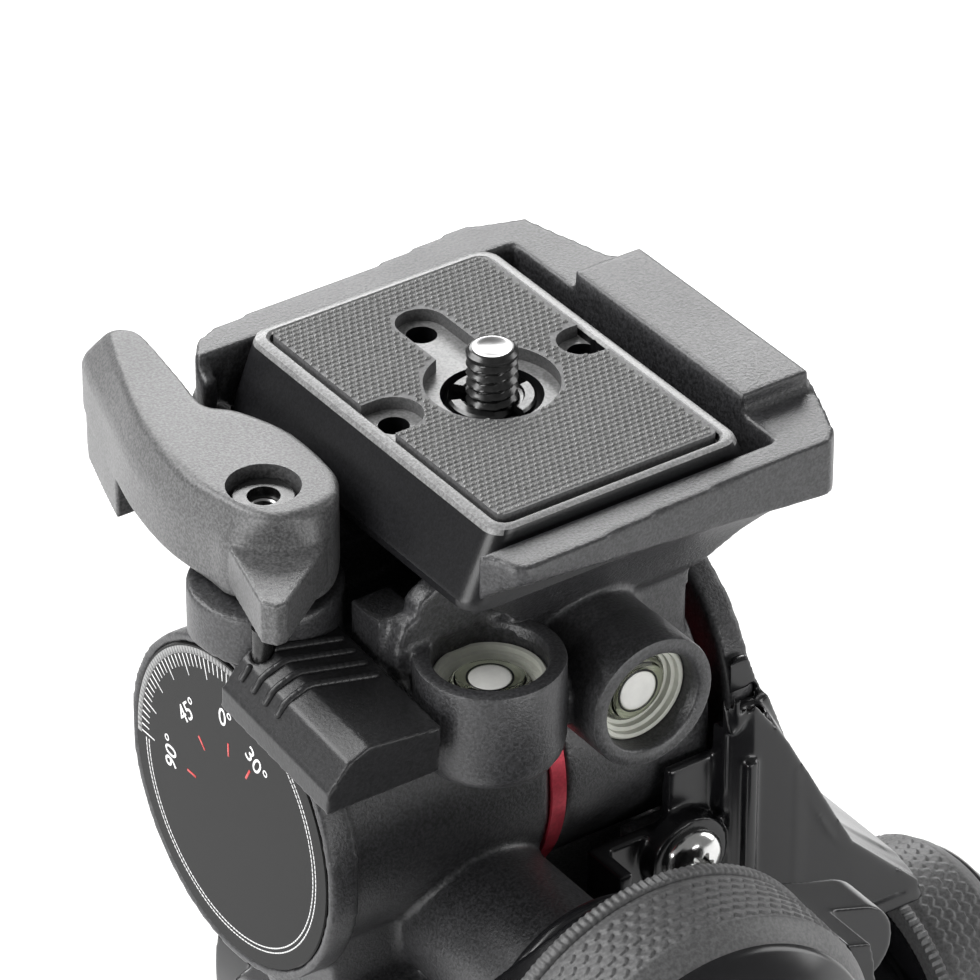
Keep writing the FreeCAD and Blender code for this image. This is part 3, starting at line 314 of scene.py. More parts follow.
def lathe(name, profile, at=(0, 0, 0), direction=Z, segments=96, relief=None, side=None):
    """Closed body of revolution from (radius, height) corners; relief moves points outwards."""
    turn = basis(at, direction, side)
    rings, points = [], []
    for index, (radius, height) in enumerate(profile):
        if radius < 1e-6:
            rings.append([len(points)])
            points.append(Vector((0, 0, height)))
            continue
        ring = []
        for step in range(segments):
            angle = 2 * math.pi * step / segments
            grown = radius + (relief(angle, radius, height) if relief else 0)
            ring.append(len(points))
            points.append(Vector((grown * math.cos(angle), grown * math.sin(angle), height)))
        rings.append(ring)
    faces = []
    loops = list(zip(rings, rings[1:] + rings[:1]))
    if len(rings[0]) == 1 and len(rings[-1]) == 1:
        loops = loops[:-1]
    for low, high in loops:
        for step in range(segments):
            after = (step + 1) % segments
            if len(low) == 1 and len(high) == 1:
                continue
            if len(low) == 1:
                faces.append((low[0], high[after], high[step]))
            elif len(high) == 1:
                faces.append((low[step], low[after], high[0]))
            else:
                faces.append((low[step], low[after], high[after], high[step]))
    return shape(name, [turn @ p for p in points], faces)


def loft(name, loops, close_ends=True):
    """Skin over closed loops of equal length."""
    count = len(loops[0])
    points = [p for loop in loops for p in loop]
    faces = []
    for level in range(len(loops) - 1):
        for step in range(count):
            after = (step + 1) % count
            faces.append((level * count + step, level * count + after,
                          (level + 1) * count + after, (level + 1) * count + step))
    if close_ends:
        faces.append(tuple(range(count))[::-1])
        faces.append(tuple((len(loops) - 1) * count + step for step in range(count)))
    return shape(name, points, faces)


def prism(name, outline, low, high, turn=None):
    """Outline in local XY pushed from one height to another."""
    turn = turn or Matrix.Identity(4)
    return loft(name, [[turn @ Vector((x, y, level)) for x, y in outline] for level in (low, high)])


def box(name, low, high):
    return prism(name, ((low[0], low[1]), (high[0], low[1]), (high[0], high[1]), (low[0], high[1])), low[2],
                 high[2])


def smooth_line(points, per_side=6, closed=True):
    """Catmull-Rom curve through points."""
    count = len(points)
    vectors = [Vector(p) for p in points]
    result = []
    spans = count if closed else count - 1
    for index in range(spans):
        if closed:
            p0, p1, p2, p3 = (vectors[(index + k) % count] for k in (-1, 0, 1, 2))
        else:
            p0, p1, p2, p3 = (vectors[min(max(index + k, 0), count - 1)] for k in (-1, 0, 1, 2))
        for step in range(per_side):
            t = step / per_side
            result.append(0.5 * (2 * p1 + (p2 - p0) * t + (2 * p0 - 5 * p1 + 4 * p2 - p3) * t * t
                                 + (3 * p1 - p0 - 3 * p2 + p3) * t ** 3))
    if not closed:
        result.append(vectors[-1])
    return result


def rounded_rectangle(half_x, half_y, radius, steps=6):
    outline = []
    for corner in range(4):
        sx = 1 if corner in (0, 3) else -1
        sy = 1 if corner in (0, 1) else -1
        for step in range(steps + 1):
            angle = math.pi / 2 * (corner + step / steps)
            outline.append((sx * (half_x - radius) + radius * math.cos(angle),
                            sy * (half_y - radius) + radius * math.sin(angle)))
    return outline


# ---------------------------------------------------------------- control knobs and release levers

KNOB_START = 9.8
KNOB_WIDTH = 18.2


def wave(turns):
    """Triangle wave between 0 and 1."""
    return abs((turns % 1.0) * 2 - 1)


def grip_relief(knob):
    """Fine serrations on a grip's flange and overlapping scales on its barrel."""
    teeth = round(2 * math.pi * knob / 0.95)
    scales = round(2 * math.pi * knob / 1.9)
    row, rise, arc = 1.35, 0.42, 0.55

    def relief(angle, radius, height):
        turn = angle / (2 * math.pi)
        if 1.15 < height < 3.0:
            return 0.28 * (wave(turn * teeth) - 0.5)
        if not 3.4 < height < 13.0:
            return 0.0
        best = 0.0
        nearest = int((height - 3.2) / row)
        for level in range(nearest - 1, nearest + 3):
            shift = 0.5 * (level % 2)
            off = ((turn * scales + shift) % 1.0) * 2 - 1
            edge = 3.2 + level * row + arc * (1 - off * off)
            below = edge - height
            if 0 <= below < 1.6 * row:
                best = max(best, rise * (1 - below / (1.6 * row)) * (1 - 0.35 * abs(off) ** 3))
        fade = min(1.0, (height - 3.4) / 0.6, (13.0 - height) / 0.6)
        return best * fade

    return relief


def knob_pieces(prefix):
    at, forward, tube, knob, hub, reach, holder = GROUPS[prefix]
    body = prefix + "_control"
    start = at + forward * (tube + KNOB_START + reach)
    core = knob - 2.2
    heights = [3.2 + 0.2 * step for step in range(50)]
    barrel = [(knob - 0.45 * ((h - 3.2) / 9.8) ** 2, h) for h in heights]
    profile = [(core, 1.2), (knob + 0.4, 1.2), (knob + 0.5, 1.4), (knob + 0.5, 2.6), (knob + 0.35, 2.85),
               (knob - 0.05, 3.0)] + barrel + [(knob - 0.6, 13.2), (knob - 1.3, 14.4), (core, 15.2)]
    grip = lathe(prefix + "_grip", profile, start, forward, segments=8 * round(2 * math.pi * knob / 1.9),
                 relief=grip_relief(knob))
    hand_over(grip, body, RUBBER, (prefix + "_knob_grip",), sharp=50)
    sleeve = 0.56 * knob if reach else 0.62 * knob
    rim = [(1.8, -reach), (sleeve - 0.4, -reach), (sleeve, 0.4 - reach), (sleeve, 1.0), (core, 1.0),
           (core, 15.4),
           (core - 0.5, 16.2), (0.75 * knob, KNOB_WIDTH - 0.5), (0.72 * knob, KNOB_WIDTH),
           (0.6 * knob, KNOB_WIDTH),
           (0.57 * knob, KNOB_WIDTH - 0.6), (0.2, KNOB_WIDTH - 0.6), (0.2, 16.0), (1.8, 16.0)]
    hand_over(lathe(prefix + "_core", rim, start, forward, 128), body, GLOSS,
              (prefix + "_knob_core",), sharp=40)
    cap = [(0, -0.5), (0.55 * knob, -0.5), (0.55 * knob, 0.5), (0.53 * knob, 0.9), (0.49 * knob, 1.1),
           (0.46 * knob, 0.75), (0.30 * knob, 0.7), (0.27 * knob, 1.0), (0, 1.05)]
    hand_over(lathe(prefix + "_cap", cap, start + forward * KNOB_WIDTH, forward, 128), body, GLOSS,
              (prefix + "_knob_cap",), sharp=40)
    lever = cast_skin(cad_copy(prefix + "_release_lever", prefix + "_wings"), [], 0.3, 5)
    hand_over(lever, prefix + "_release", GLOSS, (prefix + "_release_lever",))
    ring = [(5.0, 0), (hub - 1.3, 0), (hub - 0.9, 0.15), (hub - 0.7, 0.5), (hub - 0.7, 1.5),
            (hub - 0.9, 1.85),
            (hub - 1.3, 2.0), (5.0, 2.0)]
    hand_over(lathe(prefix + "_front_ring", ring, at + forward * tube, forward, 160), holder, GLOSS,
              (prefix + "_ring",), sharp=40)


for prefix in GROUPS:
    knob_pieces(prefix)


# ---------------------------------------------------------------- cast bodies

CAST_VOXEL = 0.5


def cylinder(name, radius, length, at, direction=Z, segments=96):
    return lathe(name, ((0, 0), (radius, 0), (radius, length), (0, length)), at, direction, segments)


TOP_LINE = ((-24.4, 24.8), (-23.8, 28.0), (-21.8, 30.4), (-18.3, 31.9), (6.0, 32.5), (20.3, 34.0),
            (24.0, 32.9),
            (26.7, 31.3), (28.9, 26.9), (30.9, 17.2), (33.6, 15.0), (33.6, -17.8), (28.8, -29.0),
            (27.2, -30.5),
            (16.8, -30.6), (0.9, -31.5), (-7.3, -32.1), (-17.2, -32.3), (-18.8, -31.2), (-19.4, -28.8),
            (-26.0, -20.0))
# wall that the top carries round its far left corner
CORNER_WRAP = ((-24.4, 24.8), (-23.8, 28.0), (-21.8, 30.4), (-18.3, 31.9), (-17.0, 31.9), (-17.0, 28.8),
               (-21.9, 28.8),
               (-22.2, 28.0), (-22.5, 24.8))
NECK_Y, NECK_Z = -15.9, 103.5
FLARE_ENDS = ((-17.9, -32.4, 126.4), (29.7, -31.2,
                                      121.0))     # x, y and z of the flare's upper edge, left and right
# open end, outer and inner radius of each vial's housing
TOP_VIAL = ((-15.6, -22.0, 110.0), 9.05, 6.95)
FRONT_VIAL = ((1.5, -31.0, 101.5), 8.55, 6.5)


def outside_tool():
    """Everything beyond the platform's outline above its flare."""
    ring = box("outside", (-90, -90, 114.5), (90, 90, 134))
    return boolean(ring, [prism("inside", TOP_LINE, 110, 140)])


def flare_tool():
    """Room under the platform's near side, hollowed in a curve from the edge to the neck."""
    loops = []
    for x, (_, y_edge, z_edge) in ((-60, FLARE_ENDS[0]), (-17.9, FLARE_ENDS[0]), (29.7, FLARE_ENDS[1]),
                                   (60, FLARE_ENDS[1])):
        loop = [Vector((x, -80, z_edge)), Vector((x, y_edge, z_edge))]
        for step in range(1, 9):
            share = step / 9
            sink = 0.11 * math.sin(math.pi * share)
            loop.append(Vector((x, y_edge + (NECK_Y - y_edge) * (share + sink),
                                z_edge + (NECK_Z - z_edge) * (share - sink))))
        loops.append(loop + [Vector((x, NECK_Y, NECK_Z)), Vector((x, NECK_Y, 96.2)),
                             Vector((x, -80, 96.2))])
    return loft("flare", loops)


def drum_room(name):
    return cylinder(name, 20.7, 31.8, (-34.5, 0, SIDE_Z), X)


def make_platform():
    base = cad_copy("platform_frame", "platform_casting")
    beyond = prism("left_room", ((-42.75, 0), (-14.9, 40), (-60, 60), (-80, 0)), 90, 113.65)
    boolean(base, [flare_tool(), outside_tool(), beyond])
    (x, y, z), outer, inner = TOP_VIAL
    vial = lathe("top_core", ((0, -14.8), (5.0, -14.8), (6.6, -14.3), (7.9, -13.4), (8.7, -12.1),
                              (outer - 0.1, -10.6),
                              (outer - 0.1, -0.6), (inner, -0.6), (inner, -8), (0, -8)), (x, y, z))
    fin = cylinder("fin", 9.2, 2.4, (-9.6, -15.6, 104.8), Y)
    post = cylinder("post", 9.4, 14.0, (LEVER_AT.x, LEVER_AT.y, 99.6))
    boolean(vial, [drum_room("room_a")])
    boolean(fin, [drum_room("room_b")])
    boolean(post, [drum_room("room_c"), cylinder("dial_room", DIAL_RADIUS + 0.7, 12, (-45, 0, SIDE_Z), X)])
    (x, y, z), outer, inner = FRONT_VIAL
    front = lathe("front_core", ((0, -15.4), (outer - 0.1, -15.4), (outer - 0.1, -0.6), (inner, -0.6),
                                 (inner, -8),
                                 (0, -8)), (x, y, z), -Y)
    low = ((-18.0, 28.8), (-17.0, 30.0), (-8.0, 30.6), (-4.0, 30.6), (-4.0, 28.8))
    high = ((-24.2, 28.8), (-22.2, 30.6), (-18.4, 31.8), (-4.0, 32.2), (-4.0, 28.8))
    corner = loft("corner", [[Vector((px, py, level)) for px, py in line] for line,
                             level in ((low, 111.0), (high, 122.0))])
    wrap = prism("wrap", CORNER_WRAP, 114.0, 126.3)
    cast_skin(base, [vial, fin, post, front, corner, wrap], CAST_VOXEL, 6)
    hand_over(base, "platform", CAST, ("platform_frame",))
    for name, (at, outer, inner), direction, depth in (("top_vial_sleeve", TOP_VIAL, Z, 9.4),
                                                       ("front_vial_sleeve", FRONT_VIAL, -Y, 8.5)):
        foot = ((outer, -depth + 0.6), (outer - 0.5, -depth))
        if direction is Z:
            foot = ((outer, -10.6), (8.75, -12.1), (7.95, -13.4), (6.6, -14.35), (5.0, -14.85), (0, -14.85),
                    (0, -depth))
        sleeve = lathe(name, ((inner, -depth), (inner, -0.3), (inner + 0.3, 0), (outer - 0.4, 0),
                              (outer - 0.1, -0.1),
                              (outer, -0.4)) + foot, at, direction, 128)
        boolean(sleeve, [drum_room(name + "_room")])
        hand_over(sleeve, "platform", CAST, (), sharp=50)


def make_cradle():
    base = cad_copy("cradle_frame", "cradle_casting")
    cast_skin(base, [], CAST_VOXEL, 7)
    hand_over(base, "cradle", CAST, ("cradle_frame",))


def make_housing():
    base = cad_copy("pan_housing", "pan_casting")
    cast_skin(base, [], CAST_VOXEL, 7)
    hand_over(base, "pan_body", CAST, ("pan_housing",))


make_platform()
make_cradle()
make_housing()


# ---------------------------------------------------------------- clamp lever

LEVER_SWING = math.radians(50)
PLATE_CLEAR = 8.8
LEVER_CROWN = ((-21.9, 0.4), (-21.9, 9.5), (-24.2, 17.0), (-26.8, 20.2), (-27.2, 22.5), (-26.3, 28.0),
               (-25.0, 38.0),
               (-26.0, 40.6), (-27.3, 41.0), (-28.4, 39.6), (-31.8, 31.5), (-35.1, 21.8), (-37.2, 10.2),
               (-36.6, 2.7),
               (-34.3, -4.0), (-30.0, -5.5), (-25.6, -4.9), (-23.0, -3.5))
LEVER_SHOULDER = ((-21.85, 0.4), (-21.85, 9.5), (-23.9, 17.2), (-26.4, 20.6), (-26.8, 22.5), (-25.9, 28.0),
                  (-24.8, 38.6),
                  (-26.2, 43.0), (-29.3, 44.5), (-31.2, 41.0), (-33.8, 33.0), (-37.2, 21.8), (-38.6, 11.7),
                  (-37.9, 3.5),
                  (-37.2, -1.2), (-31.4, -6.7), (-26.9, -6.9), (-22.1, -3.0))
LEVER_BEAK = ((-38.0, -1.0), (-41.2, -12.9), (-40.1, -14.6), (-38.7, -14.5), (-28.0, -8.2), (-26.0, -2.0))
LEVER_SKIRT = ((-35.3, 28.0), (-33.8, 33.0), (-31.2, 41.0), (-29.3, 44.5), (-26.6, 43.0), (-28.4, 40.0),
               (-31.0, 32.2),
               (-32.4, 28.0))


def clear_of_plate(spot):
    """Point of the lever, drawn in to the pivot so that it clears the plate in the lever's whole swing."""
    arm = Vector((spot[0] - LEVER_AT.x, spot[1] - LEVER_AT.y))
    if arm.x <= 0 or arm.y >= 0:
        return spot
    last = min(0.0, math.atan2(arm.y, arm.x) + LEVER_SWING)
    reach = PLATE_CLEAR / math.cos(last)
    if arm.length > reach:
        arm *= reach / arm.length
    return (LEVER_AT.x + arm.x, LEVER_AT.y + arm.y)


def lever_loop(share, level, shrink=0.0):
    """Smooth outline of the lever between its shoulder and its crown."""
    middle = Vector((-30.5, 14.0, 0))
    line = []
    for (x0, y0), (x1, y1) in zip(LEVER_SHOULDER, LEVER_CROWN):
        spot = Vector((*clear_of_plate((x0 + (x1 - x0) * share, y0 + (y1 - y0) * share)), 0))
        line.append(spot + (middle - spot).normalized() * shrink)
    loop = smooth_line(line, 6)
    return [Vector((min(p.x, -21.82), p.y, level)) for p in loop]


def make_clamp_lever():
    levels = ((0, 114.6, 0.5), (0, 115.1, 0.0), (0, 121.2, 0.0), (0.12, 122.3, 0.0), (0.5, 124.2, 0.0),
              (0.85, 125.8, 0.0),
              (1.0, 126.3, 0.3), (1.0, 126.5, 0.9))
    base = loft("lever_casting", [lever_loop(*level) for level in levels])
    beak = prism("beak", [clear_of_plate(spot) for spot in LEVER_BEAK], 116.6, 122.2)
    skirt = prism("skirt", LEVER_SKIRT, 109.1, 116.0)
    cast_skin(base, [beak, skirt], 0.3, 5)
    boolean(base, [cylinder("counterbore", 4.5, 10, (LEVER_AT.x, LEVER_AT.y, LEVER_TOP - 5)),
                   cylinder("spring_room", 4.8, 5, (LEVER_AT.x, LEVER_AT.y, LEVER_TOP - 12.1)),
                   cylinder("screw_bore", 2.7, 20, (LEVER_AT.x, LEVER_AT.y, LEVER_TOP - 14))])
    hand_over(base, "clamp_lever", SATIN, ("clamp_lever",), sharp=60)
    at = LEVER_AT + Z * (LEVER_TOP - 4.9)
    # Near-black disc on the counterbore's floor under the screw head: painted shade of the recess.
    shade_disc = lathe("counterbore_shade_disc", ((0, -1), (4.2, -1), (4.2, 0.4), (2.6, 0.5), (0, 0.5)), at, Z, 96)
    hand_over(shade_disc, "platform", GLOSS, (), sharp=40)
    head = lathe("lever_screw_head", ((0, -0.5), (2.3, -0.5), (2.3, 1.5), (2.15, 1.8), (1.7, 1.9),
                                      (1.5, 1.7),
                                      (0, 1.7)), at, Z, 96)
    hexagon = [(1.5 * math.cos(math.pi * k / 3), 1.5 * math.sin(math.pi * k / 3)) for k in range(6)]
    boolean(head, [prism("hexagon", hexagon, at.z + 0.2, at.z + 3, Matrix.Translation((at.x, at.y, 0)))])
    hand_over(head, "platform", STEEL, (), sharp=40)


make_clamp_lever()


# ---------------------------------------------------------------- quick-release plate

PAD_TOP = 130.5
ROUND = 8.2
LOBES = ((0.5, 15.5, 3.2), (-13.4, 0.9, 3.6), (14.1, 1.4, 3.2))
SLOTS = ((-2.7, 0.0, 3.7, 15.5), (-20.0, -2.7, -13.4, 4.5), (14.1, -1.8, 20.0, 4.6))


def pad_cutters(low, high):
    """Round openings of the pad and the slots that lead out of them."""
    tools = [cylinder(f"round{index}", radius, high - low, (x, y, low), Z, 64)
             for index, (x, y, radius) in enumerate([(0.0, 0.0, ROUND)] + list(LOBES))]
    return tools + [box(f"slot{index}", (x0, y0, low), (x1, y1, high)) for index,
                    (x0, y0, x1, y1) in enumerate(SLOTS)]


def make_plate():
    outer = [(21.4, 26.25, 3.0, 120.0), (21.4, 26.25, 3.0, 121.0), (21.1, 26.25, 3.0, 121.4),
             (17.75, 26.25, 2.6, 129.2), (17.45, 26.1, 2.5, 129.8), (17.0, 25.8, 2.2, 130.0),
             (16.3, 25.1, 1.9, 130.0), (15.95, 24.75, 1.7, 129.7), (15.85, 24.65, 1.6, 128.8)]
    loops = [[Vector((x, y, level)) for x, y in rounded_rectangle(hx, hy, r)] for hx, hy, r, level in outer]
    plate = loft("plate_shell", loops)
    tools = [cylinder("well", 6.2, 10, (0, 0, 125.8)), cylinder("through", 3.45, 20, (0, 0, 118)),
             cylinder("under", 9.0, 5.0, (0, 0, 119.99))]
    tools += [cylinder(f"hole{index}", 1.9, 20, (x, y, 118)) for index, (x, y, r) in enumerate(LOBES)]
    boolean(plate, tools)
    bevelled(plate, 0.12, 2, 40)
    # Faces turned up on the plate's top take the lighter colour as painted sheen; the rest keep the darker
    # colour, which is the dark coat plus painted shade of the sides.
    rim = [1 if face.normal.z > 0.35 and face.center.z > 126.0 else 0 for face in plate.data.polygons]
    hand_over(plate, "quick_plate", [PLATE_SHADED_SIDES, PLATE_TOP_SHEEN], ("quick_plate",), sharp=35)
    plate.data.polygons.foreach_set("material_index", rim)


def crescent(x, y, turn):
    """Small raised arc of the pad's tread."""
    points, faces = [], []
    steps = 4
    for step in range(steps + 1):
        angle = math.pi * (0.08 + 0.84 * step / steps)
        for radius, height in ((0.46, 0.0), (0.31, 0.26), (0.12, 0.0)):
            dx, dy = radius * math.cos(angle), radius * math.sin(angle)
            points.append((x + dx * turn[0] - dy * turn[1], y + dx * turn[1] + dy * turn[0],
                           PAD_TOP - 0.01 + height))
    for step in range(steps):
        a, b = step * 3, step * 3 + 3
        faces += [(a, b, b + 1, a + 1), (a + 1, b + 1, b + 2, a + 2), (a, a + 2, b + 2, b)]
    faces += [(0, 1, 2), (steps * 3 + 2, steps * 3 + 1, steps * 3)]
    return points, faces


def make_pad():
    half_x, half_y = 15.6, 24.05
    outline = rounded_rectangle(half_x, half_y, 1.2, 3)
    pad = prism("pad_sheet", outline, 128.82, PAD_TOP)
    boolean(pad, pad_cutters(128.0, 132.0))
    rounds = [(0.0, 0.0, ROUND)] + list(LOBES)
    points, faces = [], []
    pitch_x, pitch_y = 0.98, 0.84
    rows = int(2 * half_y / pitch_y)
    for row in range(rows + 1):
        y = -half_y + 0.45 + row * pitch_y
        if y > half_y - 0.4:
            continue
        count = int(2 * half_x / pitch_x)
        for column in range(count + 1):
            x = -half_x + 0.45 + (column + 0.5 * (row % 2)) * pitch_x
            if x > half_x - 0.4:
                continue
            if any(math.hypot(x - cx, y - cy) < radius + 0.4 for cx, cy, radius in rounds):
                continue
            if any(x0 - 0.4 < x < x1 + 0.4 and y0 - 0.4 < y < y1 + 0.4 for x0, y0, x1, y1 in SLOTS):
                continue
            more, sides = crescent(x, y, (1.0, 0.0))
            faces += [tuple(len(points) + i for i in side) for side in sides]
            points += more
    # Raised crescents take the lighter colour as painted sheen; the sheet under them takes the darker colour
    # as painted shade between them.
    tread = shape("pad_tread", points, faces)
    hand_over(tread, "quick_plate", PAD_TREAD_SHEEN, (), sharp=40)
    hand_over(pad, "quick_plate", PAD_SHEET_SHADE, ("plate_pad",), sharp=35)


def make_camera_screw():
    pitch, top = 1.27, TOP_Z + 5.4

    def thread(angle, radius, height):
        if height > top - 0.9 or radius < 2.9:
            return 0.0
        phase = height / pitch - angle / (2 * math.pi)
        return -0.55 * wave(phase) * min(1.0, (top - 0.9 - height) / 0.4)

    profile = [(0, 122.0), (3.12, 122.0)]
    profile += [(3.15, 122.0 + 0.12 * step) for step in range(1, int((top - 0.5 - 122.0) / 0.12))]
    profile += [(3.15, top - 0.5), (2.75, top - 0.12), (2.6, top), (1.9, top), (1.7, top - 0.12),
                (0.9, top - 0.14),
                (0.5, top - 0.25), (0, top - 0.25)]
    screw = lathe("camera_thread", profile, (0, 0, 0), Z, 72, relief=thread)
    hand_over(screw, "camera_screw", DARK_STEEL, ("camera_screw",), sharp=40)
    tip = lathe("camera_screw_tip", ((0, top - 0.7), (2.5, top - 0.7), (2.5, top - 0.12),
                                     (2.35, top + 0.02),
                                     (1.9, top + 0.02), (1.7, top - 0.1), (0, top - 0.1)))
    hand_over(tip, "camera_screw", STEEL, (), sharp=40)
    head = lathe("camera_screw_head", ((2.6, 122.0), (7.6, 122.0), (8.0, 122.3), (8.0, 123.1), (7.6, 123.4),
                                       (2.6, 123.4)))
    hand_over(head, "camera_screw", STEEL, (), sharp=40)
    clip = lathe("retaining_clip", ((3.3, 127.7), (5.0, 127.7), (5.3, 127.9), (5.3, 128.5), (5.0, 128.8),
                                    (3.9, 128.8),
                                    (3.7, 128.5), (3.3, 128.4)), segments=120)
    gaps = [prism(f"gap{index}", ((0, -1.1), (3.0, -1.5), (4.6, -1.9), (4.6, 1.9), (3.0, 1.5), (0, 1.1)),
                  126, 131,
                  Matrix.Rotation(math.radians(20 + 120 * index), 4, "Z") @ Matrix.Translation((0.6, 0, 0)))
            for index in range(3)]
    boolean(clip, gaps)
    hand_over(clip, "camera_screw", DARK_STEEL, (), sharp=35)


make_plate()
make_pad()
make_camera_screw()


# ---------------------------------------------------------------- dial

def dial_point(radius, degrees, lift=0.0):
    """Point on the dial, its angle counted from the top towards the far side."""
    angle = math.radians(degrees)
    return Vector((DIAL_FACE - lift, radius * math.sin(angle), SIDE_Z + radius * math.cos(angle)))


def dial_bar(points, faces, start, end, width, lift=0.03):
    """Flat printed line between two dial places, each (radius, degrees)."""
    first, last = dial_point(*start, lift), dial_point(*end, lift)
    along = (last - first).normalized()
    side = along.cross(X) * width / 2
    base = len(points)
    points.extend([first - side, last - side, last + side, first + side])
    points.extend([p + X * 0.05 for p in points[base:base + 4]])
    faces.extend([(base, base + 1, base + 2, base + 3), (base + 4, base + 7, base + 6, base + 5)])
    faces.extend([(base + i, base + 4 + i, base + 4 + (i + 1) % 4, base + (i + 1) % 4) for i in range(4)])


def dial_arc(points, faces, radius, width, low, high):
    steps = max(8, int((high - low) / 2))
    for step in range(steps):
        a, b = (low + (high - low) * (step + k) / steps for k in (0, 1))
        dial_bar(points, faces, (radius, a - 0.2), (radius, b + 0.2), width)


def dial_text(name, words, height, radius, degrees):
    curve = bpy.data.curves.new(name, "FONT")
    curve.body = words
    curve.size = height
    curve.align_x = "CENTER"
    curve.align_y = "CENTER"
    curve.extrude = 0.03
    thing = bpy.data.objects.new(name, curve)
    bpy.context.scene.collection.objects.link(thing)
    view = bpy.context.evaluated_depsgraph_get()
    mesh = bpy.data.meshes.new_from_object(thing.evaluated_get(view))
    drop(thing)
    angle = math.radians(degrees)
    up = Vector((0, math.sin(angle), math.cos(angle)))
    right = Vector((-1, 0, 0)).cross(up) * -1
    turn = Matrix((right, up, Vector((-1, 0, 0)))).transposed().to_4x4()
    mesh.transform(Matrix.Translation(dial_point(radius, degrees, 0.02)) @ turn)
    text = bpy.data.objects.new(name, mesh)
    bpy.context.scene.collection.objects.link(text)
    return hand_over(text, "cradle", WHITE_INK, ())


def make_dial():
    disc = lathe("dial_disc", ((0, 0), (DIAL_RADIUS - 1.4, 0), (DIAL_RADIUS - 1.25, 0.15),
                               (DIAL_RADIUS - 1.25, 0.9),
                               (0, 0.9)), (DIAL_FACE, 0, SIDE_Z), X, 160)
    hand_over(disc, "cradle", DIAL_BLACK, ("tilt_dial",), sharp=40)
    points, faces = [], []
    for radius in (17.9, 18.5):
        dial_arc(points, faces, radius, 0.16, 92, 328)
    for degrees in range(-30, 91, 3):
        long = degrees % 15 == 0
        dial_bar(points, faces, (16.6 if long else 17.8, degrees), (19.4, degrees), 0.17)
    hand_over(shape("dial_white_lines", points, faces), "cradle", WHITE_INK, ())
    points, faces = [], []
    dial_arc(points, faces, 19.9, 0.9, -30, 91)
    hand_over(shape("dial_grey_band", points, faces), "cradle", GREY_INK, ())
    points, faces = [], []
    for degrees in (90, 45, 0, -30):
        dial_bar(points, faces, (7.4, degrees), (9.3, degrees), 0.32)
    hand_over(shape("dial_red_marks", points, faces), "cradle", RED_INK, ())
    for words, degrees, radius in (("90°", 88, 12.8), ("45°", 45, 12.4), ("30°", -32, 11.4),
                                   ("0°", 2, 12.4)):
        dial_text("dial_" + words.strip("°"), words, 3.4, radius, degrees)


make_dial()


# ---------------------------------------------------------------- level vials

def make_vial(name, at, direction, radius, node):
    """Vial in its well: stepped cup, clear capsule, black circle and bubble.

    The place is the housing's open end.
    """
    deep = 3.0
    cup = lathe(name + "_cup", ((0, -7.9), (radius - 0.05, -7.9), (radius - 0.05, -deep + 0.1),
                                (radius - 0.3, -deep + 0.3),
                                (radius - 0.75, -deep + 0.2), (radius - 0.8, -deep - 0.5),
                                (radius - 1.3, -deep - 0.6),
                                (radius - 1.35, -deep - 1.3), (radius - 1.8, -deep - 1.4),
                                (radius - 1.9, -deep - 2.6),
                                (0, -deep - 2.6)), at, direction, 96)
    hand_over(cup, "platform", VIAL_BACK, (node,), sharp=40)
    inner = radius - 1.95
    dome = [(0, -deep - 2.55), (inner, -deep - 2.55), (inner, -deep - 1.2)]
    dome += [(inner * math.cos(a), -deep - 1.2 + 1.0 * math.sin(a))
             for a in (math.pi / 2 * k / 10 for k in range(1, 10))]
    dome += [(0, -deep - 0.2)]
    hand_over(lathe(name + "_glass", dome, at, direction, 96), "platform", VIAL_GLASS, ())
    top = Vector(at) + Vector(direction) * (-deep - 0.15)
    circle = lathe(name + "_circle", ((2.62, 0), (2.86, 0), (2.86, 0.05), (2.62, 0.05)), top, direction, 96)
    hand_over(circle, "platform", BLACK_INK, ())
    bubble = [(0, -0.5), (2.3, -0.5)] + [(2.55 * math.cos(a), 0.1 * math.sin(a)) for a in
                                         (math.pi / 2 * k / 6 for k in range(6))] + [(0, 0.1)]
    hand_over(lathe(name + "_bubble", bubble, top, direction, 64), "platform", BUBBLE, ())


make_vial("top_vial", (-15.6, -22.0, 110.0), Z, 6.9, "top_level_vial")
make_vial("front_vial", (1.5, -31.0, 101.5), -Y, 6.45, "front_level_vial")


# ---------------------------------------------------------------- fairing and its screw

# ridges over the pointer: how many, the first one's y and their pitch
RIDGES, RIDGE_FIRST, RIDGE_PITCH = 6, -14.2, 2.5
# room that the platform sweeps in its side tilt: rise of its lower side, and height of its inner part
SWEEP_SLOPE, SWEEP_SHELF = 0.344, 86.4
FAIRING_LINE = ((17.0, 95.6), (20.4, 91.6), (25.0, 85.7), (28.2, 78.8), (31.0, 72.6), (35.4, 65.4),
                (40.8, 59.6),
                (47.0, 54.0), (52.0, 50.0))
FAIRING_ROUND = ((-29.0, 4.6), (-27.05, 2.9), (-26.3, 1.5), (-25.2, 0.6), (-23.6, 0.1),
                 (-21.5, -0.2))    # y, offset


# plan of the smooth wall that closes the recess right of the screw
FAIRING_WALL = ((17.6, -22.4), (18.6, -24.2), (21.0, -25.2), (26.0, -25.8), (36.0, -26.4), (46.5, -26.7))


def fairing_offset(offset):
    """The fairing's outer line in XZ, moved inwards."""
    line = smooth_line([(x, 0, z) for x, z in FAIRING_LINE], 6, closed=False)
    moved = []
    for index, spot in enumerate(line):
        along = (line[min(index + 1, len(line) - 1)] - line[max(index - 1, 0)]).normalized()
        moved.append(spot + Vector((along.z, 0, -along.x)) * offset)
    return moved


